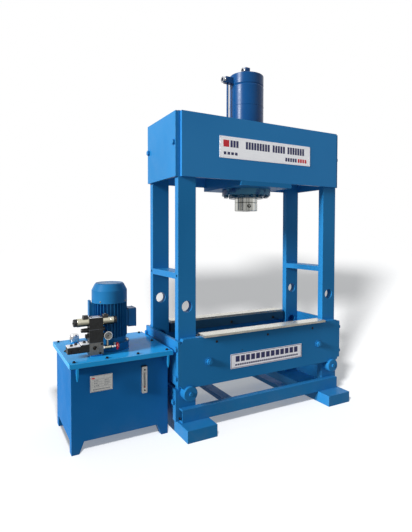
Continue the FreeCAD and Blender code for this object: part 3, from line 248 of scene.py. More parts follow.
def machinedSteel(name, changes):
    look = {**metalDefaults, **changes}
    g = Graph(bpy.data.materials.new(name))
    place = g.place()
    linesAndReflectionBands = g.noise(g.vector("MULTIPLY", place, look["stretch"]), look["lineScale"], 3.0, 0.6)
    stain = g.noise(place, look["stainScale"], 4.0, 0.6)
    color = g.tones(linesAndReflectionBands, 0.3, 0.7, look["dark"], look["light"])
    stained = g.between(stain, 0.55, 0.8) * look["stain"]
    color = g.mixed(stained, color, linear(*look["stainColor"]))
    # painted shade and reflection: darker on faces that look down, as over a workshop's floor
    upward = g.part(g.node("ShaderNodeNewGeometry", output="Normal"), 2)
    below = g.between(upward, -0.7, 0.55, 1.0, 0.0) * look["below"]
    color = g.mixed(below, color, linear(*look["underShadeColor"]))
    return g.surface({
        "Base Color": color, "Roughness": g.between(stain, 0.3, 0.75, look["smooth"], look["rough"]),
        "Metallic": look["metallic"],
        "Normal": g.grained(linesAndReflectionBands, look["relief"], look),
    })


railSteel = machinedSteel("railSteel", {
    "dark": (196, 194, 182), "light": (240, 238, 228), "stretch": (0.03, 1.0, 1.0),
    "lineScale": 500.0, "stain": 0.4, "stainColor": (150, 146, 130), "stainScale": 11.0,
    "smooth": 0.22, "rough": 0.4, "metallic": 0.6, "relief": 0.25, "edge": 0.001,
    "below": 0.85, "underShadeColor": (60, 56, 44),
})
# painted reflections: the ram's grey tone and the broad dark and light bands around it are reflections
# painted into the chrome's colour
ramChromePaintedReflections = machinedSteel("ramChromePaintedReflections", {
    "dark": (92, 92, 88), "light": (206, 207, 202), "stretch": (1.0, 1.0, 0.01),
    "lineScale": 34.0, "stain": 0.12, "stainColor": (110, 104, 92), "stainScale": 16.0,
    "smooth": 0.12, "rough": 0.24, "metallic": 1.0, "relief": 0.06, "edge": 0.0012,
})
blockSteel = machinedSteel("blockSteel", {
    "dark": (104, 103, 98), "light": (134, 132, 126), "stretch": (1.0, 1.0, 0.05),
    "lineScale": 700.0, "stain": 0.5, "stainColor": (72, 68, 60), "stainScale": 38.0,
    "smooth": 0.35, "rough": 0.55, "metallic": 0.55, "relief": 0.2, "edge": 0.0008,
    "below": 0.15, "underShadeColor": (60, 58, 52),
})
platedSteel = machinedSteel("platedSteel", {
    "dark": (196, 192, 168), "light": (222, 219, 200), "stretch": (0.05, 1.0, 1.0),
    "lineScale": 300.0, "stain": 0.2, "stainColor": (150, 142, 120), "stainScale": 60.0,
    "smooth": 0.16, "rough": 0.32, "metallic": 0.95, "relief": 0.08,
    "below": 0.95, "underShadeColor": (44, 42, 28),
})
rotorSteel = machinedSteel("rotorSteel", {
    "dark": (70, 70, 70), "light": (100, 100, 98), "stretch": (1.0, 1.0, 0.05),
    "lineScale": 300.0, "stain": 0.3, "stainColor": (60, 50, 42), "stainScale": 30.0,
    "smooth": 0.35, "rough": 0.55, "metallic": 0.8, "relief": 0.2, "edge": 0.001,
    "below": 0.2, "underShadeColor": (40, 40, 40),
})
brightPlate = machinedSteel("brightPlate", {
    "dark": (232, 234, 238), "light": (246, 247, 250), "stretch": (0.02, 1.0, 1.0),
    "lineScale": 700.0, "stain": 0.1, "stainColor": (206, 208, 212), "stainScale": 8.0,
    "smooth": 0.34, "rough": 0.46, "metallic": 0.6, "relief": 0.05,
})
aluminium = machinedSteel("aluminium", {
    "dark": (176, 178, 178), "light": (208, 208, 204), "stretch": (1.0, 1.0, 0.03),
    "lineScale": 800.0, "stain": 0.25, "stainColor": (128, 124, 112), "stainScale": 40.0,
    "smooth": 0.28, "rough": 0.42, "metallic": 0.75, "relief": 0.1,
    "below": 0.15, "underShadeColor": (90, 90, 90),
})
chrome = machinedSteel("chrome", {
    "dark": (212, 214, 216), "light": (240, 240, 240), "stretch": (1.0, 1.0, 1.0),
    "lineScale": 300.0, "stain": 0.08, "stainColor": (150, 146, 136), "stainScale": 60.0,
    "smooth": 0.06, "rough": 0.14, "metallic": 1.0, "relief": 0.03,
    "below": 0.6, "underShadeColor": (60, 66, 70),
})

# plastics, castings, prints and enamel: one tone with a little haze and a fine grain

solidDefaults = {
    "edge": 0.0003, "edgeWearAndHighlight": 0.4, "grainScale": 1600.0, "relief": 0.03, "smooth": 0.32,
    "rough": 0.42, "metallic": 0.0, "hazeScale": 45.0, "depth": 0.0003,
}


def solidFinish(name, changes):
    look = {**solidDefaults, **changes}
    g = Graph(bpy.data.materials.new(name))
    place = g.place()
    grain = g.noise(place, look["grainScale"], 3.0, 0.6)
    haze = g.noise(place, look["hazeScale"], 3.0, 0.6)
    color = g.wornAndHighlighted(g.tones(haze, 0.35, 0.75, look["dark"], look["light"]), look, 0.4)
    return g.surface({
        "Base Color": color, "Roughness": g.between(haze, 0.3, 0.7, look["smooth"], look["rough"]),
        "Metallic": look["metallic"],
        "Normal": g.grained(grain, look["relief"], look),
    })


blackIron = solidFinish("blackIron", {
    "dark": (24, 25, 25), "light": (40, 41, 40), "edgeWearAndHighlightColor": (96, 94, 88), "edgeWearAndHighlight": 0.35,
    "edge": 0.0007, "grainScale": 1400.0, "relief": 0.25, "smooth": 0.38, "rough": 0.52,
    "metallic": 0.35,
})
blackPlastic = solidFinish("blackPlastic", {
    "dark": (18, 18, 19), "light": (27, 27, 28), "edgeWearAndHighlightColor": (60, 60, 62), "edgeWearAndHighlight": 0.25,
    "edge": 0.0007, "grainScale": 1800.0, "relief": 0.15, "smooth": 0.34, "rough": 0.46,
})
blackScrew = solidFinish("blackScrew", {
    "dark": (20, 21, 24), "light": (34, 35, 38), "edgeWearAndHighlightColor": (84, 86, 90), "edge": 0.0005,
    "grainScale": 2200.0, "relief": 0.1, "smooth": 0.3, "rough": 0.45, "metallic": 0.6,
})
castIron = solidFinish("castIron", {
    "dark": (58, 58, 58), "light": (78, 78, 76), "edgeWearAndHighlightColor": (110, 108, 104), "edgeWearAndHighlight": 0.3,
    "edge": 0.001, "grainScale": 600.0, "relief": 0.5, "smooth": 0.55, "rough": 0.75,
    "metallic": 0.4,
})
redPlastic = solidFinish("redPlastic", {
    "dark": (150, 12, 26), "light": (178, 20, 34), "edgeWearAndHighlightColor": (214, 70, 78), "edge": 0.0008,
    "grainScale": 1500.0, "relief": 0.05, "smooth": 0.22, "rough": 0.34,
})
whiteSheet = solidFinish("whiteSheet", {
    "dark": (240, 240, 248), "light": (248, 248, 253), "edgeWearAndHighlightColor": (238, 238, 246),
    "edge": 0.0006, "grainScale": 900.0, "relief": 0.04, "smooth": 0.34, "rough": 0.44,
    "metallic": 0.5,
})
greyPrint = solidFinish("greyPrint", {
    "dark": (104, 108, 116), "light": (122, 126, 132), "edgeWearAndHighlightColor": (138, 142, 148),
    "edgeWearAndHighlight": 0.1, "smooth": 0.35, "rough": 0.45,
})
navyPrint = solidFinish("navyPrint", {
    "dark": (20, 24, 84), "light": (28, 33, 98), "edgeWearAndHighlightColor": (60, 66, 136), "edgeWearAndHighlight": 0.1,
})
redPrint = solidFinish("redPrint", {
    "dark": (226, 26, 46), "light": (238, 36, 54), "edgeWearAndHighlightColor": (224, 78, 92), "edgeWearAndHighlight": 0.1,
})
clearWindow = solidFinish("clearWindow", {
    "dark": (186, 188, 184), "light": (208, 209, 204), "edgeWearAndHighlightColor": (228, 228, 226),
    "edge": 0.0008, "grainScale": 300.0, "relief": 0.02, "smooth": 0.08, "rough": 0.16,
})
dialEnamel = solidFinish("dialEnamel", {
    "dark": (168, 166, 158), "light": (188, 186, 178), "edgeWearAndHighlightColor": (228, 226, 216),
    "edgeWearAndHighlight": 0.2, "edge": 0.0004, "grainScale": 1200.0, "relief": 0.02, "smooth": 0.16,
    "rough": 0.26,
})

# a solid that no list names has the frame's paint
finishes = {
    crossheadPaintWithPaintedLight: ["crosshead_front_plate", "crosshead_rear_plate"],
    barPaint: ["table_bar_front", "table_bar_rear"],
    cylinderPaint: [
        "cylinder_barrel", "cylinder_cap", "side_pipe", "side_port_block", "cap_elbow",
    ],
    glandPaint: ["cylinder_gland", "flange_bolts"],
    tankPaint: ["tank_body"],
    lidPaint: ["tank_lid"],
    motorPaint: ["motor_adapter", "motor_frame", "motor_cowl", "motor_terminal_box"],
    railSteel: ["table_rail_front", "table_rail_rear"],
    ramChromePaintedReflections: ["ram"],
    blockSteel: ["manifold_block"],
    platedSteel: ["solenoid_left", "solenoid_right", "needle_valve_body", "gauge_body"],
    chrome: ["breather_cap"],
    aluminium: ["level_gauge"],
    rotorSteel: ["motor_rotor"],
    castIron: ["pump"],
    blackIron: ["relief_module", "valve_body", "check_module"],
    blackPlastic: [
        "relief_knob", "override_button_left", "override_button_right", "gauge_pointer",
    ],
    redPlastic: ["needle_valve_knob"],
}
finishOf = {name: material for material, names in finishes.items() for name in names}
for name, node in nodes.items():
    for slot in node.material_slots:
        slot.material = finishOf.get(name, framePaint)
print("stage: finishes on the solids")


# mesh tools, all in millimetres

corners = ((-1, -1), (-1, 1), (1, -1), (1, 1))
# low or high end of a box, and its axis
outward = {"left": (0, 0), "right": (1, 0), "front": (0, 1), "back": (1, 1), "top": (1, 2)}


def ends(node):
    low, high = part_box(node)
    return [value / millimetre for value in low], [value / millimetre for value in high]


def centre(node):
    return [(first + last) / 2 for first, last in zip(*ends(node))]


def outermost(node, side):
    # where a solid ends on the way out to a side of the machine
    end, axis = outward[side]
    return ends(node)[end][axis]


def angles(count, start=0.0):
    return [2 * math.pi * (step + start) / count for step in range(count)]


def atAngle(x, y, radius, angle):
    return x + radius * math.cos(angle), y + radius * math.sin(angle)


def level(size, height, hexagonal=False, sides=24):
    # one ring of a turned or hexagonal solid; a hexagon's size is half its width over flats
    ring = []
    for angle in angles(sides):
        reach = size
        if hexagonal:
            reach = size / math.cos(angle % (math.pi / 3) - math.pi / 6)
        ring.append((*atAngle(0, 0, reach, angle), height))
    return ring


def sheet(wide, high, corner, height, steps=4):
    # one ring of a plate with rounded corners
    ring = []
    for index, (signX, signY) in enumerate(((1, 1), (-1, 1), (-1, -1), (1, -1))):
        for step in range(steps + 1):
            angle = math.pi / 2 * (index + step / steps)
            x, y = signX * (wide / 2 - corner), signY * (high / 2 - corner)
            ring.append((*atAngle(x, y, corner, angle), height))
    return ring


def skin(rings, ending="caps"):
    # faces between rings of equal count: caps closes both ends, loop joins them, open leaves them
    count = len(rings[0])
    points = [point for ring in rings for point in ring]
    rows = [range(row * count, (row + 1) * count) for row in range(len(rings))]
    faces = []
    for here, there in zip(rows, rows[1:] + (rows[:1] if ending == "loop" else [])):
        for step in range(count):
            after = (step + 1) % count
            faces.append((here[step], here[after], there[after], there[step]))
    if ending == "caps":
        faces += [tuple(reversed(rows[0])), tuple(rows[-1])]
    return points, faces


def turned(levels, sides=24, ending="caps"):
    # levels: size and height, and True for a hexagon
    return skin([level(*values, sides=sides) for values in levels], ending)


def slab(wide, high, thick, corner, soft=0.4):
    return skin([
        sheet(wide, high, corner, 0), sheet(wide, high, corner, thick - soft),
        sheet(wide - 2 * soft, high - 2 * soft, max(corner - soft, 0.05), thick),
    ])


def frameRing(wide, high, border, thick, corner=3.0):
    # a flat border with an open middle
    innerWide, innerHigh = wide - 2 * border, high - 2 * border
    return skin([
        sheet(wide, high, corner, 0), sheet(wide, high, corner, thick),
        sheet(innerWide, innerHigh, corner * 0.5, thick), sheet(innerWide, innerHigh, corner * 0.5, 0),
    ], "loop")


def washer(inner, outer, thick, sides=32):
    return turned([
        (inner, 0), (outer, 0), (outer, thick - 0.4), (outer - 0.4, thick), (inner, thick),
    ], sides, "loop")


def socketScrew(radius, high):
    # a head with a soft rim and a six-sided socket
    hollow = radius * 0.5
    return turned([
        (radius, 0), (radius, high - 0.5), (radius - 0.5, high),
        (hollow, high, True), (hollow, high * 0.45, True),
    ])


def hexHead(half, high):
    # a round foot, six flats and a turned top
    return turned([
        (half * 1.12, 0), (half * 1.12, 0.8), (half, 0.8, True), (half, high * 0.82, True),
        (half * 0.96, high),
    ])


turnsTo = {
    "front": ((1, 0, 0), (0, 0, 1), (0, -1, 0)),
    "back": ((-1, 0, 0), (0, 0, 1), (0, 1, 0)),
    "left": ((0, -1, 0), (0, 0, 1), (-1, 0, 0)),
    "right": ((0, 1, 0), (0, 0, 1), (1, 0, 0)),
    "top": ((1, 0, 0), (0, 1, 0), (0, 0, 1)),
}


def facing(side, x, y, z, spin=0.0):
    # carries a shape drawn upright onto a side of the machine
    turn = Matrix(turnsTo[side]).transposed().to_4x4()
    return Matrix.Translation((x, y, z)) @ turn @ Matrix.Rotation(math.radians(spin), 4, "Z")


def addObject(name, data):
    made = bpy.data.objects.new(name, data)
    bpy.context.scene.collection.objects.link(made)
    return made


def makePiece(name, body, shapes, materials, chamfer=0.0, smoothAngle=32):
    # shapes: (points and faces, placement, number of the material)
    made = bmesh.new()
    for (points, faces), spot, finish in shapes:
        verts = [made.verts.new(spot @ Vector(point) * millimetre) for point in points]
        for face in faces:
            made.faces.new([verts[index] for index in face]).material_index = finish
    bmesh.ops.recalc_face_normals(made, faces=made.faces)
    mesh = bpy.data.meshes.new(name)
    made.to_mesh(mesh)
    made.free()
    for material in materials:
        mesh.materials.append(material)
    for face in mesh.polygons:
        face.use_smooth = True
    mesh.set_sharp_from_angle(angle=math.radians(smoothAngle))
    piece = addObject(name, mesh)
    if chamfer:
        bevel = piece.modifiers.new("chamfer", "BEVEL")
        bevel.width = chamfer * millimetre
        bevel.segments = 2
        bevel.limit_method = "ANGLE"
        bevel.angle_limit = math.radians(40)
    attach(piece, body)
    return piece


def makeCopies(name, body, shape, spots, material, **options):
    makePiece(name, body, [(shape, spot, 0) for spot in spots], [material], **options)


# plates on the crosshead, the table and the tank: fields of colour only
# each row: count, wide, high, gap, left x, middle z, and 1 for red, 2 for navy or 3 for grey

crossheadPlate = {
    "wide": 750, "high": 138, "thick": 1.6, "middle": (0, 1782), "border": 5, "rivetInset": 6.0,
    "rows": [
        (1, 44, 44, 0, -347, 24, 1), (3, 17, 44, 5, -294, 24, 2), (4, 20, 18, 8, -344, -38, 2),
        (9, 17, 48, 5, -176, 24, 2), (5, 17, 48, 5, 42, 24, 2), (7, 17, 48, 5, 170, 24, 2),
        (5, 16, 26, 5, 152, -38, 2), (4, 16, 26, 5, 262, -38, 1),
    ],
}
tablePlate = {
    "wide": 594, "high": 95, "thick": 1.6, "middle": (0, 402.5), "border": 3,
    "rows": [(13, 31, 38, 9.6, -259, 13, 2), (30, 13.5, 11, 4.1, -262, -25, 2)],
}
tankPlate = {
    "wide": 126, "high": 91, "thick": 1.2, "middle": (-1124, 398), "border": 1.4, "rivetInset": 4.0,
    "rows": [
        (1, 18, 7, 0, -55, 31, 1), (1, 108, 1.2, 0, -54, 23, 3), (1, 108, 1.2, 0, -54, 9, 3),
        (1, 108, 1.2, 0, -54, -5, 3), (1, 108, 1.2, 0, -54, -19, 3), (3, 6, 4.5, 3, -42, 16, 3),
        (3, 5, 4.5, 3, 18, 16, 3), (2, 8, 4.5, 3, -42, 2, 3), (4, 5, 4.5, 3, 16, 2, 3),
        (3, 7, 4.5, 3, -42, -12, 3), (3, 5, 4.5, 3, 16, -12, 3), (12, 5.5, 6, 2.4, -47, -32, 3),
    ],
}
plateStyle = {
    "corner": 3.0, "printHigh": 0.25, "borderInset": 1.1, "rivetSunk": 0.2,
    "rivet": [(2.4, 0), (2.3, 0.8), (1.4, 1.5), (0.5, 1.7)],
}


def makePlate(name, body, look, node, sheetFinish, borderFinish):
    x, z = look["middle"]
    wide, high, thick, border = look["wide"], look["high"], look["thick"], look["border"]
    raised = thick + plateStyle["printHigh"]
    inset = 2 * border * plateStyle["borderInset"]
    y = outermost(node, "front")
    middle = facing("front", x, y, z)
    shapes = [
        (slab(wide, high, thick, plateStyle["corner"]), middle, 0),
        (frameRing(wide - inset, high - inset, border, raised), middle, 4),
    ]
    for count, markWide, markHigh, gap, left, offZ, finish in look["rows"]:
        mark = slab(markWide, markHigh, raised, 0.5, 0.1)
        for step in range(count):
            markX = x + left + markWide / 2 + step * (markWide + gap)
            shapes.append((mark, facing("front", markX, y, z + offZ), finish))
    if "rivetInset" in look:
        reachX, reachZ = wide / 2 - look["rivetInset"], high / 2 - look["rivetInset"]
        rivetY = y - thick + plateStyle["rivetSunk"]
        for signX, signZ in corners:
            spot = facing("front", x + signX * reachX, rivetY, z + signZ * reachZ)
            shapes.append((turned(plateStyle["rivet"]), spot, 5))
    makePiece(name, body, shapes, [
        sheetFinish, redPrint, navyPrint, greyPrint, borderFinish, aluminium,
    ])


makePlate("crosshead_plate", "frame", crossheadPlate, "crosshead_front_plate", brightPlate,
          whiteSheet)
makePlate("table_plate", "table", tablePlate, "table_front_plate", whiteSheet, navyPrint)
makePlate("tank_plate", "frame", tankPlate, "tank_body", aluminium, greyPrint)
print("stage: plates")

# screws on the lid, in the columns, on the table and on the base
# screw: radius and height, head: half width over flats and height, washer: hole, radius and thickness

lidScrews = {
    "screw": (7.0, 7.0), "inset": 30, "lift": 1.4, "washer": (4.2, 10.5, 1.6), "belowAdapter": 32,
}


def makeLidScrews():
    low, high = ends("tank_lid")
    top = outermost("motor_adapter", "top") - lidScrews["belowAdapter"]
    inset = lidScrews["inset"]
    left, right, front, back = low[0] + inset, high[0] - inset, low[1] + inset, high[1] - inset
    third = (right - left) / 3
    spots = [(left + third * step, side) for step in range(4) for side in (front, back)]
    spots += [(side, (front + back) / 2) for side in (left, right)]
    head, ring = socketScrew(*lidScrews["screw"]), washer(*lidScrews["washer"])
    shapes = []
    for x, y in spots:
        shapes.append((ring, facing("top", x, y, top), 0))
        # its place gives each head a turn of its own
        shapes.append((head, facing("top", x, y, top + lidScrews["lift"], x % 60), 0))
    makePiece("lid_screws", "frame", shapes, [blackScrew])


makeLidScrews()

columnScrews = {"screw": (8.6, 9.0), "height": 969, "sunk": 15.5, "across": 211, "spin": 17}


def makeColumnScrews():
    look = columnScrews
    spots = []
    for side, inward in (("left", 1), ("right", -1)):
        x = outermost(f"column_front_{side}", side) + inward * look["sunk"]
        for y in (-look["across"], look["across"]):
            spots.append(facing(side, x, y, look["height"], look["spin"]))
    makeCopies("column_screws", "frame", socketScrew(*look["screw"]), spots, blackScrew)


makeColumnScrews()

tableScrews = {
    "screw": (8.0, 2.0), "places": (-400, 0, 400), "height": 548, "nut": (9.0, 8.0), "nutSpin": 10,
    "plug": [(3.2, 0), (3.2, 0.5), (2.4, 0.9)], "plugPlaces": (-207, 207), "plugHeight": 470,
}


def makeTableScrews():
    head, nut = socketScrew(*tableScrews["screw"]), hexHead(*tableScrews["nut"])
    plug = turned(tableScrews["plug"])
    height = tableScrews["height"]
    shapes = []
    for side, inside, end in (("front", "back", "front"), ("back", "front", "rear")):
        face = outermost(f"table_{end}_plate", side)
        barFace = outermost(f"table_bar_{end}", inside)
        for x in tableScrews["places"]:
            shapes.append((head, facing(side, x, face, height, x % 60), 0))
            shapes.append((nut, facing(inside, x, barFace, height, tableScrews["nutSpin"]), 0))
        for x in tableScrews["plugPlaces"]:
            shapes.append((plug, facing(side, x, face, tableScrews["plugHeight"]), 0))
    makePiece("table_screws", "table", shapes, [blackScrew])


makeTableScrews()

tieWashers = {"washer": (12.0, 27.0, 3.0), "places": (-455, 455), "height": 428}


def makeTieWashers():
    spots = []
    for side, node in (("front", "table_front_plate"), ("back", "table_rear_plate")):
        for x in tieWashers["places"]:
            spots.append(facing(side, x, outermost(node, side), tieWashers["height"]))
    makeCopies("tie_washers", "table", washer(*tieWashers["washer"]), spots, framePaint)


makeTieWashers()

channelBolts = {"head": (7.0, 6.0), "across": 236, "height": 90, "spin": 8}


def makeChannelBolts():
    look = channelBolts
    spots = []
    for side in ("left", "right"):
        x = outermost("base_frame", side)
        for y in (-look["across"], look["across"]):
            spots.append(facing(side, x, y, look["height"], look["spin"]))
    makeCopies("channel_bolts", "frame", hexHead(*look["head"]), spots, blackScrew)


makeChannelBolts()
print("stage: screws of the frame, the table and the lid")

# cylinder: chrome nuts on the two ports, a weld bead round the barrel

portNuts = {
    # the height is over the foot of the solid; without one, the nut sits half way up
    "side_port_block": {"radius": 21.5, "bore": 13.2, "long": 18.0},
    "cap_elbow": {"radius": 18.5, "bore": 11.2, "long": 14.0, "height": 47},
}


def makePortNuts():
    shapes = []
    for node, look in portNuts.items():
        low = ends(node)[0]
        y, z = centre(node)[1:]
        if "height" in look:
            z = low[2] + look["height"]
        outer, waist, long = look["radius"], look["radius"] - 1.2, look["long"]
        sleeve = turned([
            (outer - 1.4, 0), (outer, 1.4), (outer, long * 0.42), (waist, long * 0.47),
            (waist, long * 0.53), (outer, long * 0.58), (outer, long - 1.2), (waist, long + 0.4),
            (look["bore"], long + 0.4),
        ], ending="open")
        shapes.append((sleeve, facing("left", low[0] + long, y, z), 0))
    makePiece("port_nuts", "frame", shapes, [chrome])


makePortNuts()

barrelBead = {
    "height": 2137, "radius": 122.4, "size": 2.4, "flat": 0.6, "ripples": 150, "dip": 0.8, "steps": 6,
}


def makeBarrelBead():
    # overlapping ripples of a circular weld under paint
    look = barrelBead
    rings = []
    for part in range(look["steps"] + 1):
        turn = math.pi * part / look["steps"] - math.pi / 2
        ring = []
        for step, angle in enumerate(angles(look["ripples"] * 2)):
            reach = look["size"] * (look["dip"] if step % 2 else 1.0)
            out = look["radius"] + reach * look["flat"] * math.cos(turn)
            ring.append((*atAngle(0, 0, out, angle), look["height"] + reach * math.sin(turn)))
        rings.append(ring)
    shapes = [(skin(rings, "open"), Matrix.Identity(4), 0)]
    makePiece("barrel_bead", "frame", shapes, [cylinderPaint], smoothAngle=70)


makeBarrelBead()
print("stage: cylinder details")

# tank: level gauge, corner tabs

gaugeFrame = {
    "border": 4.5, "thick": 1.6, "corner": 5.0, "panelHigh": 20, "panelInset": 16,
    "window": (13.4, 95.4), "windowSunk": 4.9, "scale": (3.0, 84), "scaleSunk": 0.9,
    "mark": (9.0, 7.0), "markHeight": 36, "roof": (5, 17.0), "roofSunk": 16.0, "roofLift": 1.6,
    "screw": (5.0, 4.0), "screwInset": 18, "screwLift": 1.6, "screwSpin": 12,
    "washer": (2.6, 7.4, 1.2), "washerLift": 0.8,
}


def makeGaugeFrame():
    look = gaugeFrame
    low, high = ends("level_gauge")
    x, z = centre("level_gauge")[::2]
    face, wide = low[1], high[0] - low[0]
    ring = frameRing(wide, high[2] - low[2], look["border"], look["thick"], look["corner"])
    panel = slab(wide - 2 * look["border"], look["panelHigh"], 1.0, 2.0)
    roofHigh, roofDeep = look["roof"]
    scaleY = face + look["scaleSunk"]
    shapes = [
        (ring, facing("front", x, face, z), 0),
        (panel, facing("front", x, face, high[2] - look["panelInset"]), 0),
        (panel, facing("front", x, face, low[2] + look["panelInset"]), 0),
        (slab(*look["window"], 4.0, 2.0, 0.8), facing("front", x, face + look["windowSunk"], z), 1),
        (slab(*look["scale"], 0.6, 1.0, 0.2), facing("front", x, scaleY, z), 2),
        (slab(*look["mark"], 0.8, 1.0, 0.2),
         facing("front", x, scaleY, low[2] + look["markHeight"]), 3),
        (slab(wide + 1, roofHigh, roofDeep, 1.5, 0.8),
         facing("front", x, face + look["roofSunk"], high[2] + look["roofLift"]), 4),
    ]
    headY, ringY = face - look["screwLift"], face - look["washerLift"]
    for height in (high[2] - look["screwInset"], low[2] + look["screwInset"]):
        spot = facing("front", x, headY, height, look["screwSpin"])
        shapes.append((washer(*look["washer"]), facing("front", x, ringY, height), 0))
        shapes.append((socketScrew(*look["screw"]), spot, 4))
    makePiece("gauge_frame", "frame", shapes, [
        aluminium, clearWindow, greyPrint, redPlastic, blackScrew,
    ])


makeGaugeFrame()

tankTabs = {"wide": 15, "high": 72, "thick": 5, "places": (-1255, -722), "top": 497, "chamfer": 1.2}


def makeTankTabs():
    half, high = tankTabs["wide"] / 2, tankTabs["high"]
    outline = [
        (-half, 0), (half, 0), (half, -high * 0.55), (half * 0.3, -high), (-half * 0.4, -high),
        (-half, -high * 0.7),
    ]
    tab = skin([[(x, z, depth) for x, z in outline] for depth in (0, tankTabs["thick"])])
    y = outermost("tank_body", "front")
    spots = [facing("front", x, y, tankTabs["top"]) for x in tankTabs["places"]]
    makeCopies("tank_tabs", "frame", tab, spots, lidPaint, chamfer=tankTabs["chamfer"])


makeTankTabs()
print("stage: tank details")

# motor: flange bolts on the ledge, painted shade for the vents in the cowl, lid of the terminal box

flangeBolts = {"count": 6, "circle": 109.5, "head": (6.5, 8.0), "ledge": 14, "spin": 23}


def makeFlangeBolts():
    x, y = centre("motor_adapter")[:2]
    ledge = outermost("motor_adapter", "top") + flangeBolts["ledge"]
    spots = []
    for step, angle in enumerate(angles(flangeBolts["count"], 0.5)):
        place = atAngle(x, y, flangeBolts["circle"], angle)
        spots.append(facing("top", *place, ledge, step * flangeBolts["spin"]))
    makeCopies("adapter_bolts", "frame", hexHead(*flangeBolts["head"]), spots, platedSteel)


makeFlangeBolts()

# black slots on the cowl's top: painted shade for the dark insides of the vent openings
cowlVentShade = {
    # each row: radius and count of the slots
    "rows": ((16, 6), (28, 11), (40, 16), (52, 21), (64, 26), (76, 31)),
    "slot": (7.0, 2.6, 0.35), "slotSunk": 0.1, "ring": (81.0, 83.0, 0.9), "ringSunk": 0.2,
}


def makeCowlVentShade():
    x, y = centre("motor_cowl")[:2]
    top = outermost("motor_cowl", "top")
    slot, slotTop = slab(*cowlVentShade["slot"], 1.2, 0.1), top - cowlVentShade["slotSunk"]
    shapes = []
    for radius, count in cowlVentShade["rows"]:
        for angle in angles(count):
            place = atAngle(x, y, radius, angle)
            shapes.append((slot, facing("top", *place, slotTop, math.degrees(angle)), 0))
    ring = washer(*cowlVentShade["ring"], 64)
    shapes.append((ring, facing("top", x, y, top - cowlVentShade["ringSunk"]), 1))
    makePiece("cowl_vent_shade", "frame", shapes, [blackPlastic, motorPaint])


makeCowlVentShade()

cowlScrews = {"count": 4, "screw": (4.2, 3.0), "lift": 12, "sunk": 0.4}


def makeCowlScrews():
    low, high = ends("motor_cowl")
    x, y = centre("motor_cowl")[:2]
    reach = (high[0] - low[0]) / 2 - cowlScrews["sunk"]
    spots = []
    for angle in angles(cowlScrews["count"], 0.5):
        place = (*atAngle(x, y, reach, angle), low[2] + cowlScrews["lift"])
        turn = Matrix.Rotation(angle, 4, "Z") @ Matrix.Rotation(math.pi / 2, 4, "Y")
        spots.append(Matrix.Translation(place) @ turn)
    makeCopies("cowl_screws", "frame", socketScrew(*cowlScrews["screw"]), spots, platedSteel)


makeCowlScrews()

boxLid = {
    "box": 96, "thick": 4.0, "over": 2.0, "corner": 9.0, "soft": 1.4, "sunk": 0.4,
    "screwInset": 9.0, "screw": (3.4, 2.6), "screwSunk": 0.6, "spin": 20,
}


def makeBoxLid():
    low, high = ends("motor_terminal_box")
    boxWide, boxHigh = boxLid["box"], high[2] - low[2]
    y, z = low[1] + boxWide / 2, (low[2] + high[2]) / 2
    over, inset = 2 * boxLid["over"], boxLid["screwInset"]
    lid = slab(boxWide + over, boxHigh + over, boxLid["thick"], boxLid["corner"], boxLid["soft"])
    shapes = [(lid, facing("right", high[0] - boxLid["sunk"], y, z), 0)]
    screwX = high[0] + boxLid["thick"] - boxLid["screwSunk"]
    for signY, signZ in corners:
        spot = facing("right", screwX, y + signY * (boxWide / 2 - inset),
                      z + signZ * (boxHigh / 2 - inset), boxLid["spin"] * signY)
        shapes.append((socketScrew(*boxLid["screw"]), spot, 1))
    makePiece("terminal_lid", "frame", shapes, [motorPaint, platedSteel])


makeBoxLid()
print("stage: motor details")

# valves: black caps and plugs on the solenoids, bright covers, screws, nuts

solenoidCaps = {
    "radius": 22.4, "long": 32, "grooves": (16, 22), "grooveDeep": 1.1,
    "buttonHole": 6.0, "sleeveRadius": 24.2, "sleeveFrom": -6.0, "sleeveTo": 13,
    # width, corner and height of the plug's steps
    "plug": [(31, 5, 0), (31, 5, 13), (29, 4, 15), (29, 4, 21), (26, 3, 23)],
    "plugBack": 34, "plugSunk": 20.5, "screw": (3.4, 2.6), "screwLift": 2.2, "screwSpin": 25,
}


def makeSolenoidDress():
    look = solenoidCaps
    radius, long, sleeve, outer = look["radius"], look["long"], look["sleeveTo"], look["sleeveRadius"]
    levels = [(radius, sleeve)]
    for groove in look["grooves"]:
        inner = radius - look["grooveDeep"]
        levels += [(radius, groove), (inner, groove + 0.8), (inner, groove + 2.2), (radius, groove + 3)]
    levels += [(radius, long - 3.5), (radius - 2.5, long + 0.5), (look["buttonHole"], long + 0.5)]
    cap = turned(levels, 32, "open")
    tube = turned([
        (outer - 0.6, look["sleeveFrom"]), (outer, look["sleeveFrom"] + 0.6), (outer, sleeve - 0.8),
        (outer - 0.8, sleeve), (radius - 2, sleeve),
    ], 32, "open")
    plug = skin([sheet(wide, wide, corner, height) for wide, corner, height in look["plug"]])
    shapes = []
    for side, inward in (("left", 1), ("right", -1)):
        node = f"solenoid_{side}"
        low, high = ends(node)
        y = (low[1] + high[1]) / 2
        z = low[2] + (high[1] - low[1]) / 2
        start = outermost(node, side) + inward * long
        plugX = start + inward * look["plugBack"]
        screwTop = high[2] + look["screwLift"]
        shapes += [
            (cap, facing(side, start, y, z), 0),
            (tube, facing(side, start, y, z), 2),
            (plug, facing("top", plugX, y, high[2] - look["plugSunk"]), 0),
            (socketScrew(*look["screw"]), facing("top", plugX, y, screwTop, look["screwSpin"]), 1),
        ]
    makePiece("solenoid_caps", "frame", shapes, [blackPlastic, chrome, platedSteel], smoothAngle=40)


makeSolenoidDress()

valveCover = {
    "thick": 3.0, "inset": 3.0, "screw": (4.5, 5.0), "screwInset": (12, 11), "screwSunk": 0.2,
    "screwSpin": 14, "seamWide": 79.6, "seamOver": 0.6, "seamHalf": 0.7,
}


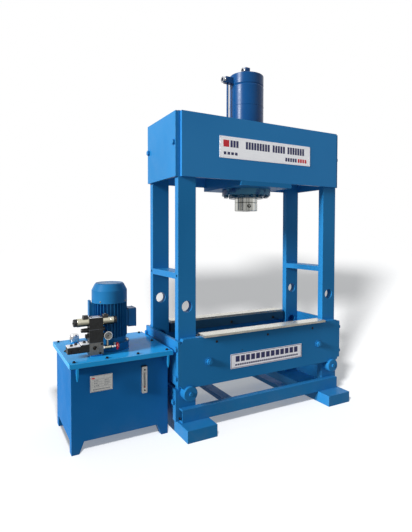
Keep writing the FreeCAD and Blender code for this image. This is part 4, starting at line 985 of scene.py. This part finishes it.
def makeValveCover():
    low, high = ends("valve_body")
    x, y = centre("valve_body")[:2]
    wide, deep = high[0] - low[0], high[1] - low[1]
    inset, thick, half = 2 * valveCover["inset"], valveCover["thick"], valveCover["seamHalf"]
    insetX, insetY = valveCover["screwInset"]
    shapes = [(slab(wide - inset, deep - inset, thick, 4.0, 0.8), facing("top", x, y, high[2]), 0)]
    for signX, signY in corners:
        spot = facing("top", x + signX * (wide / 2 - insetX), y + signY * (deep / 2 - insetY),
                      high[2] + thick - valveCover["screwSunk"], valveCover["screwSpin"])
        shapes.append((socketScrew(*valveCover["screw"]), spot, 1))
    seamDeep = deep + valveCover["seamOver"]
    seam = skin([sheet(valveCover["seamWide"], seamDeep, 1.0, height) for height in (-half, half)])
    for node in ("relief_module", "valve_body"):
        shapes.append((seam, facing("top", x, y, ends(node)[0][2]), 2))
    makePiece("valve_cover", "frame", shapes, [brightPlate, blackScrew, greyPrint])


makeValveCover()

checkCover = {
    "thick": 5.0, "step": 74, "stepDrop": 8.0, "gap": 1, "over": 1.5, "lowBack": 0.6, "highBack": 1.0,
    # along and across the module for the top, along and up for the front
    "screws": ((24, -8), (52, 14), (98, 6)), "screw": (7.5, 8.0), "washer": (4.0, 10.0, 1.4),
    "screwSunk": 0.2, "frontScrews": ((20, 14), (58, 20)), "frontScrew": (6.0, 3.0), "frontSpin": 9,
}


def makeCheckCover():
    look = checkCover
    low, high = ends("check_module")
    y = (low[1] + high[1]) / 2
    deep = high[1] - low[1] + look["over"]
    lowTop = high[2] - look["stepDrop"]
    longLow, longHigh = look["step"] - look["gap"], high[0] - low[0] - look["step"]
    lowX = low[0] + longLow / 2 - look["lowBack"]
    highX = low[0] + look["step"] + longHigh / 2 - look["highBack"]
    shapes = [
        (slab(longLow, deep, look["thick"], 5.0, 1.0), facing("top", lowX, y, lowTop), 0),
        (slab(longHigh, deep, look["thick"], 4.0, 1.0), facing("top", highX, y, high[2]), 0),
    ]
    for offX, offY in look["screws"]:
        top = (lowTop if offX < look["step"] else high[2]) + look["thick"] - look["screwSunk"]
        spot = (low[0] + offX, y + offY, top)
        shapes.append((socketScrew(*look["screw"]), facing("top", *spot, offX), 1))
        shapes.append((washer(*look["washer"]), facing("top", *spot), 1))
    for offX, offZ in look["frontScrews"]:
        spot = facing("front", low[0] + offX, low[1], low[2] + offZ, look["frontSpin"])
        shapes.append((socketScrew(*look["frontScrew"]), spot, 1))
    makePiece("check_cover", "frame", shapes, [brightPlate, blackScrew])


makeCheckCover()

manifoldScrews = {"screw": (6.5, 3.0), "places": ((60, 8), (70, 60))}


def makeManifoldScrews():
    x, y, z = ends("manifold_block")[0]
    spots = [facing("front", x + offX, y, z + offZ, offZ) for offX, offZ in manifoldScrews["places"]]
    makeCopies("manifold_screws", "frame", socketScrew(*manifoldScrews["screw"]), spots, blackScrew)


makeManifoldScrews()

needleNuts = [
    {"along": 51.5, "spin": 10, "levels": [(8.0, 0), (9.0, 0.6, True), (9.0, 8.4, True), (8.0, 9.0)]},
    {"along": 64, "spin": 0, "levels": [
        (7.6, 0), (10.0, 1.0, True), (10.0, 9.0, True), (8.4, 10.0), (6.4, 13.0),
    ]},
    {"along": 0.2, "spin": 5, "levels": [(9.6, 0), (11.6, 0.8, True), (11.6, 7.2, True), (9.6, 8.0)]},
]


def makeNeedleNuts():
    left = outermost("needle_valve_body", "left")
    y, z = centre("needle_valve_body")[1:]
    shapes = []
    for look in needleNuts:
        spot = facing("right", left + look["along"], y, z, look["spin"])
        shapes.append((turned(look["levels"]), spot, 0))
    makePiece("needle_nuts", "frame", shapes, [chrome])


makeNeedleNuts()

dialFace = {
    "radius": 20.6, "thick": 0.35, "sunk": 3.9, "below": 24.5,
    "rim": [(21.0, 0), (21.0, 2.4), (23.0, 3.0), (24.7, 1.8), (24.7, -1.0)],
    "from": 225, "sweep": 270, "ticks": 41, "tickInset": 1.2, "tickLift": 0.3,
    "tenthTick": (3.4, 0.8), "fifthTick": (2.4, 0.5), "plainTick": (1.5, 0.5),
    "numbers": ("0", "10", "20", "30", "40"), "size": 4.2, "numberInset": 7.4, "numberLift": 0.45,
    "numberHigh": 0.08,
}


def dialAngle(step, count):
    return math.radians(dialFace["from"] - dialFace["sweep"] * step / (count - 1))


def numberMesh(number):
    words = bpy.data.curves.new("dialNumber", "FONT")
    words.body = number
    words.size = dialFace["size"] * millimetre
    words.align_x = "CENTER"
    words.align_y = "CENTER"
    words.extrude = dialFace["numberHigh"] * millimetre
    draft = addObject("dialNumber", words)
    bpy.context.view_layer.update()
    mesh = bpy.data.meshes.new_from_object(draft.evaluated_get(bpy.context.evaluated_depsgraph_get()))
    bpy.data.objects.remove(draft)
    return mesh


def makeDialFace():
    look = dialFace
    low, high = ends("gauge_body")
    x, y, z = (low[0] + high[0]) / 2, low[1] + look["sunk"], high[2] - look["below"]
    disc = turned([(look["radius"], 0), (look["radius"], look["thick"])], 48)
    shapes = [(disc, facing("front", x, y, z), 0)]
    for step in range(look["ticks"]):
        angle = dialAngle(step, look["ticks"])
        kind = "plainTick" if step % 5 else "fifthTick" if step % 10 else "tenthTick"
        long, wide = look[kind]
        tickX, tickZ = atAngle(x, z, look["radius"] - look["tickInset"] - long / 2, angle)
        spot = facing("front", tickX, y - look["tickLift"], tickZ, math.degrees(angle))
        shapes.append((slab(long, wide, 0.15, 0.2, 0.05), spot, 1))
    shapes.append((turned(look["rim"], 48, "open"), facing("front", x, low[1], z), 2))
    piece = makePiece("dial_face", "frame", shapes, [dialEnamel, blackPlastic, chrome], smoothAngle=40)
    joined = bmesh.new()
    joined.from_mesh(piece.data)
    for step, number in enumerate(look["numbers"]):
        mesh = numberMesh(number)
        angle = dialAngle(step, len(look["numbers"]))
        numberX, numberZ = atAngle(x, z, look["radius"] - look["numberInset"], angle)
        spot = facing("front", numberX, y - look["numberLift"], numberZ)
        mesh.transform(Matrix.Translation(spot.translation * millimetre) @ spot.to_3x3().to_4x4())
        for face in mesh.polygons:
            face.material_index = 1
        joined.from_mesh(mesh)
        bpy.data.meshes.remove(mesh)
    joined.to_mesh(piece.data)
    joined.free()


makeDialFace()

breatherRibs = {"count": 28, "wide": 2.2, "deep": 2.4, "sunk": 0.6, "foot": 4, "shorter": 18}


def makeBreatherRibs():
    low, high = ends("breather_cap")
    x, y = centre("breather_cap")[:2]
    reach = (high[0] - low[0]) / 2 - breatherRibs["sunk"]
    tall = high[2] - low[2] - breatherRibs["shorter"]
    deep, wide = breatherRibs["deep"], breatherRibs["wide"]
    rib = skin([
        sheet(deep, wide, 0.9, 0, 2), sheet(deep, wide, 0.9, tall - 1, 2),
        sheet(1.0, wide - 1.2, 0.4, tall, 2),
    ])
    spots = []
    for angle in angles(breatherRibs["count"]):
        place = (*atAngle(x, y, reach, angle), low[2] + breatherRibs["foot"])
        spots.append(facing("top", *place, math.degrees(angle)))
    makeCopies("breather_ribs", "breather", rib, spots, chrome, smoothAngle=50)


makeBreatherRibs()
print("stage: valve details")

# floor, light and camera

studio = {
    "floorSize": 900.0, "floorTone": 0.8, "floorSpeck": 0.985, "speckScale": 0.6,
    "floorGlow": 0.24, "glowColor": (0.93, 0.965, 1, 1),
    "floorBounce": 0.24, "floorShine": 0.7, "fadeFrom": 7.0, "fadeTo": 30.0,
    "skyLight": 0.31, "skySeen": 1.0,
    "sunFrom": (-0.93, -0.12, 0.36), "sunPower": 3.95, "sunSize": 14.0,
    "shadowPlace": (-1.6, -1.95, 2.42), "shadowSize": 0.2, "shadowPower": 29.0,
    "lowestSlope": 0.004,
}
white = (1, 1, 1, 1)


def makeFloor():
    mesh = bpy.data.meshes.new("floor")
    half = studio["floorSize"] / 2
    points = [(-half, -half, 0), (half, -half, 0), (half, half, 0), (-half, half, 0)]
    mesh.from_pydata(points, [], [(0, 1, 2, 3)])
    floor = addObject("floor", mesh)
    g = Graph(bpy.data.materials.new("floorPaper"))
    grain = g.noise(g.place(), studio["speckScale"], 2.0)
    tone = studio["floorTone"]
    speck = tone * studio["floorSpeck"]
    color = g.mixed(grain, (tone, tone, tone, 1), (speck, speck, tone * 0.99, 1))
    paper = g.node("ShaderNodeBsdfDiffuse", None, {"Color": color})
    lit = g.node("ShaderNodeAddShader", None, {
        0: paper, 1: g.emission(studio["glowColor"], studio["floorGlow"]),
    })
    # shadows fade out with distance, so that no horizon shows
    faded = g.between(g.vector("LENGTH", g.place(), output="Value"),
                      studio["fadeFrom"], studio["fadeTo"])
    lit = g.node("ShaderNodeMixShader", None, {0: faded, 1: lit, 2: g.emission(white, 1.0)})
    # the press meets the floor as a plain pale card, brighter in its reflections
    shine = studio["floorShine"] - studio["floorBounce"]
    strength = g.path("Is Glossy Ray") * shine + studio["floorBounce"]
    seen = g.path("Is Camera Ray")
    g.output(g.node("ShaderNodeMixShader", None, {0: seen, 1: g.emission(white, strength), 2: lit}))
    mesh.materials.append(g.owner)
    return floor


def makeSky():
    world = bpy.data.worlds.new("studioSky")
    bpy.context.scene.world = world
    g = Graph(world)
    rays = g.path("Is Camera Ray") + g.path("Is Glossy Ray") + g.path("Is Transmission Ray")
    shown = g.between(rays, 0.0, 1.0)
    strength = shown * (studio["skySeen"] - studio["skyLight"]) + studio["skyLight"]
    sky = g.node("ShaderNodeBackground", None, {"Color": white, "Strength": strength})
    g.node("ShaderNodeOutputWorld", None, {"Surface": sky})


def onlyFor(lamp, floor, state):
    # state INCLUDE lights the floor alone, EXCLUDE everything but the floor
    group = bpy.data.collections.new(lamp.name + "Reach")
    group.objects.link(floor)
    lamp.light_linking.receiver_collection = group
    group.collection_objects[0].light_linking.link_state = state


def makeKeyLight(floor):
    light = bpy.data.lights.new("keyLight", "SUN")
    light.energy = studio["sunPower"]
    light.angle = math.radians(studio["sunSize"])
    lamp = addObject("keyLight", light)
    lamp.rotation_euler = Vector(studio["sunFrom"]).to_track_quat("Z", "Y").to_euler()
    onlyFor(lamp, floor, "EXCLUDE")


def makeShadowLight(floor):
    # draws the long soft shadow on the floor and leaves the press as it is
    light = bpy.data.lights.new("shadowLight", "POINT")
    light.energy = 1.0
    light.shadow_soft_size = studio["shadowSize"]
    g = Graph(light)
    # stronger towards the horizon, so that the floor is lit evenly
    steep = g.part(g.node("ShaderNodeTexCoord", output="Normal"), 2)
    steep = g.node("ShaderNodeMath", {"operation": "ABSOLUTE"}, {0: steep})
    steep = g.node("ShaderNodeMath", {"operation": "MAXIMUM"}, {0: steep, 1: studio["lowestSlope"]})
    strength = studio["shadowPower"] / steep
    falloff = g.node("ShaderNodeLightFalloff", None, {"Strength": strength}, "Constant")
    glow = g.emission(white, falloff)
    g.node("ShaderNodeOutputLight", None, {"Surface": glow})
    lamp = addObject("shadowLight", light)
    lamp.location = studio["shadowPlace"]
    onlyFor(lamp, floor, "INCLUDE")


view = {
    "place": (-1.7213, -2.5699, 1.2279), "turn": -28.8, "tilt": -1.7, "roll": 0.1,
    "lens": 28.51, "sensor": 36.0, "shiftX": -0.0053, "shiftY": -0.0365,
}


def makeCamera():
    camera = bpy.data.cameras.new("camera")
    camera.sensor_fit = "VERTICAL"
    camera.sensor_height = view["sensor"]
    camera.lens = view["lens"]
    camera.shift_x = view["shiftX"]
    camera.shift_y = view["shiftY"]
    holder = addObject("camera", camera)
    holder.location = view["place"]
    holder.rotation_euler = (
        Matrix.Rotation(math.radians(view["turn"]), 3, "Z")
        @ Matrix.Rotation(math.radians(90 + view["tilt"]), 3, "X")
        @ Matrix.Rotation(math.radians(view["roll"]), 3, "Z")
    ).to_euler()
    bpy.context.scene.camera = holder


paperFloor = makeFloor()
makeSky()
makeKeyLight(paperFloor)
makeShadowLight(paperFloor)
makeCamera()
bpy.context.scene.view_settings.view_transform = "Standard"
print("stage: floor, light and camera")
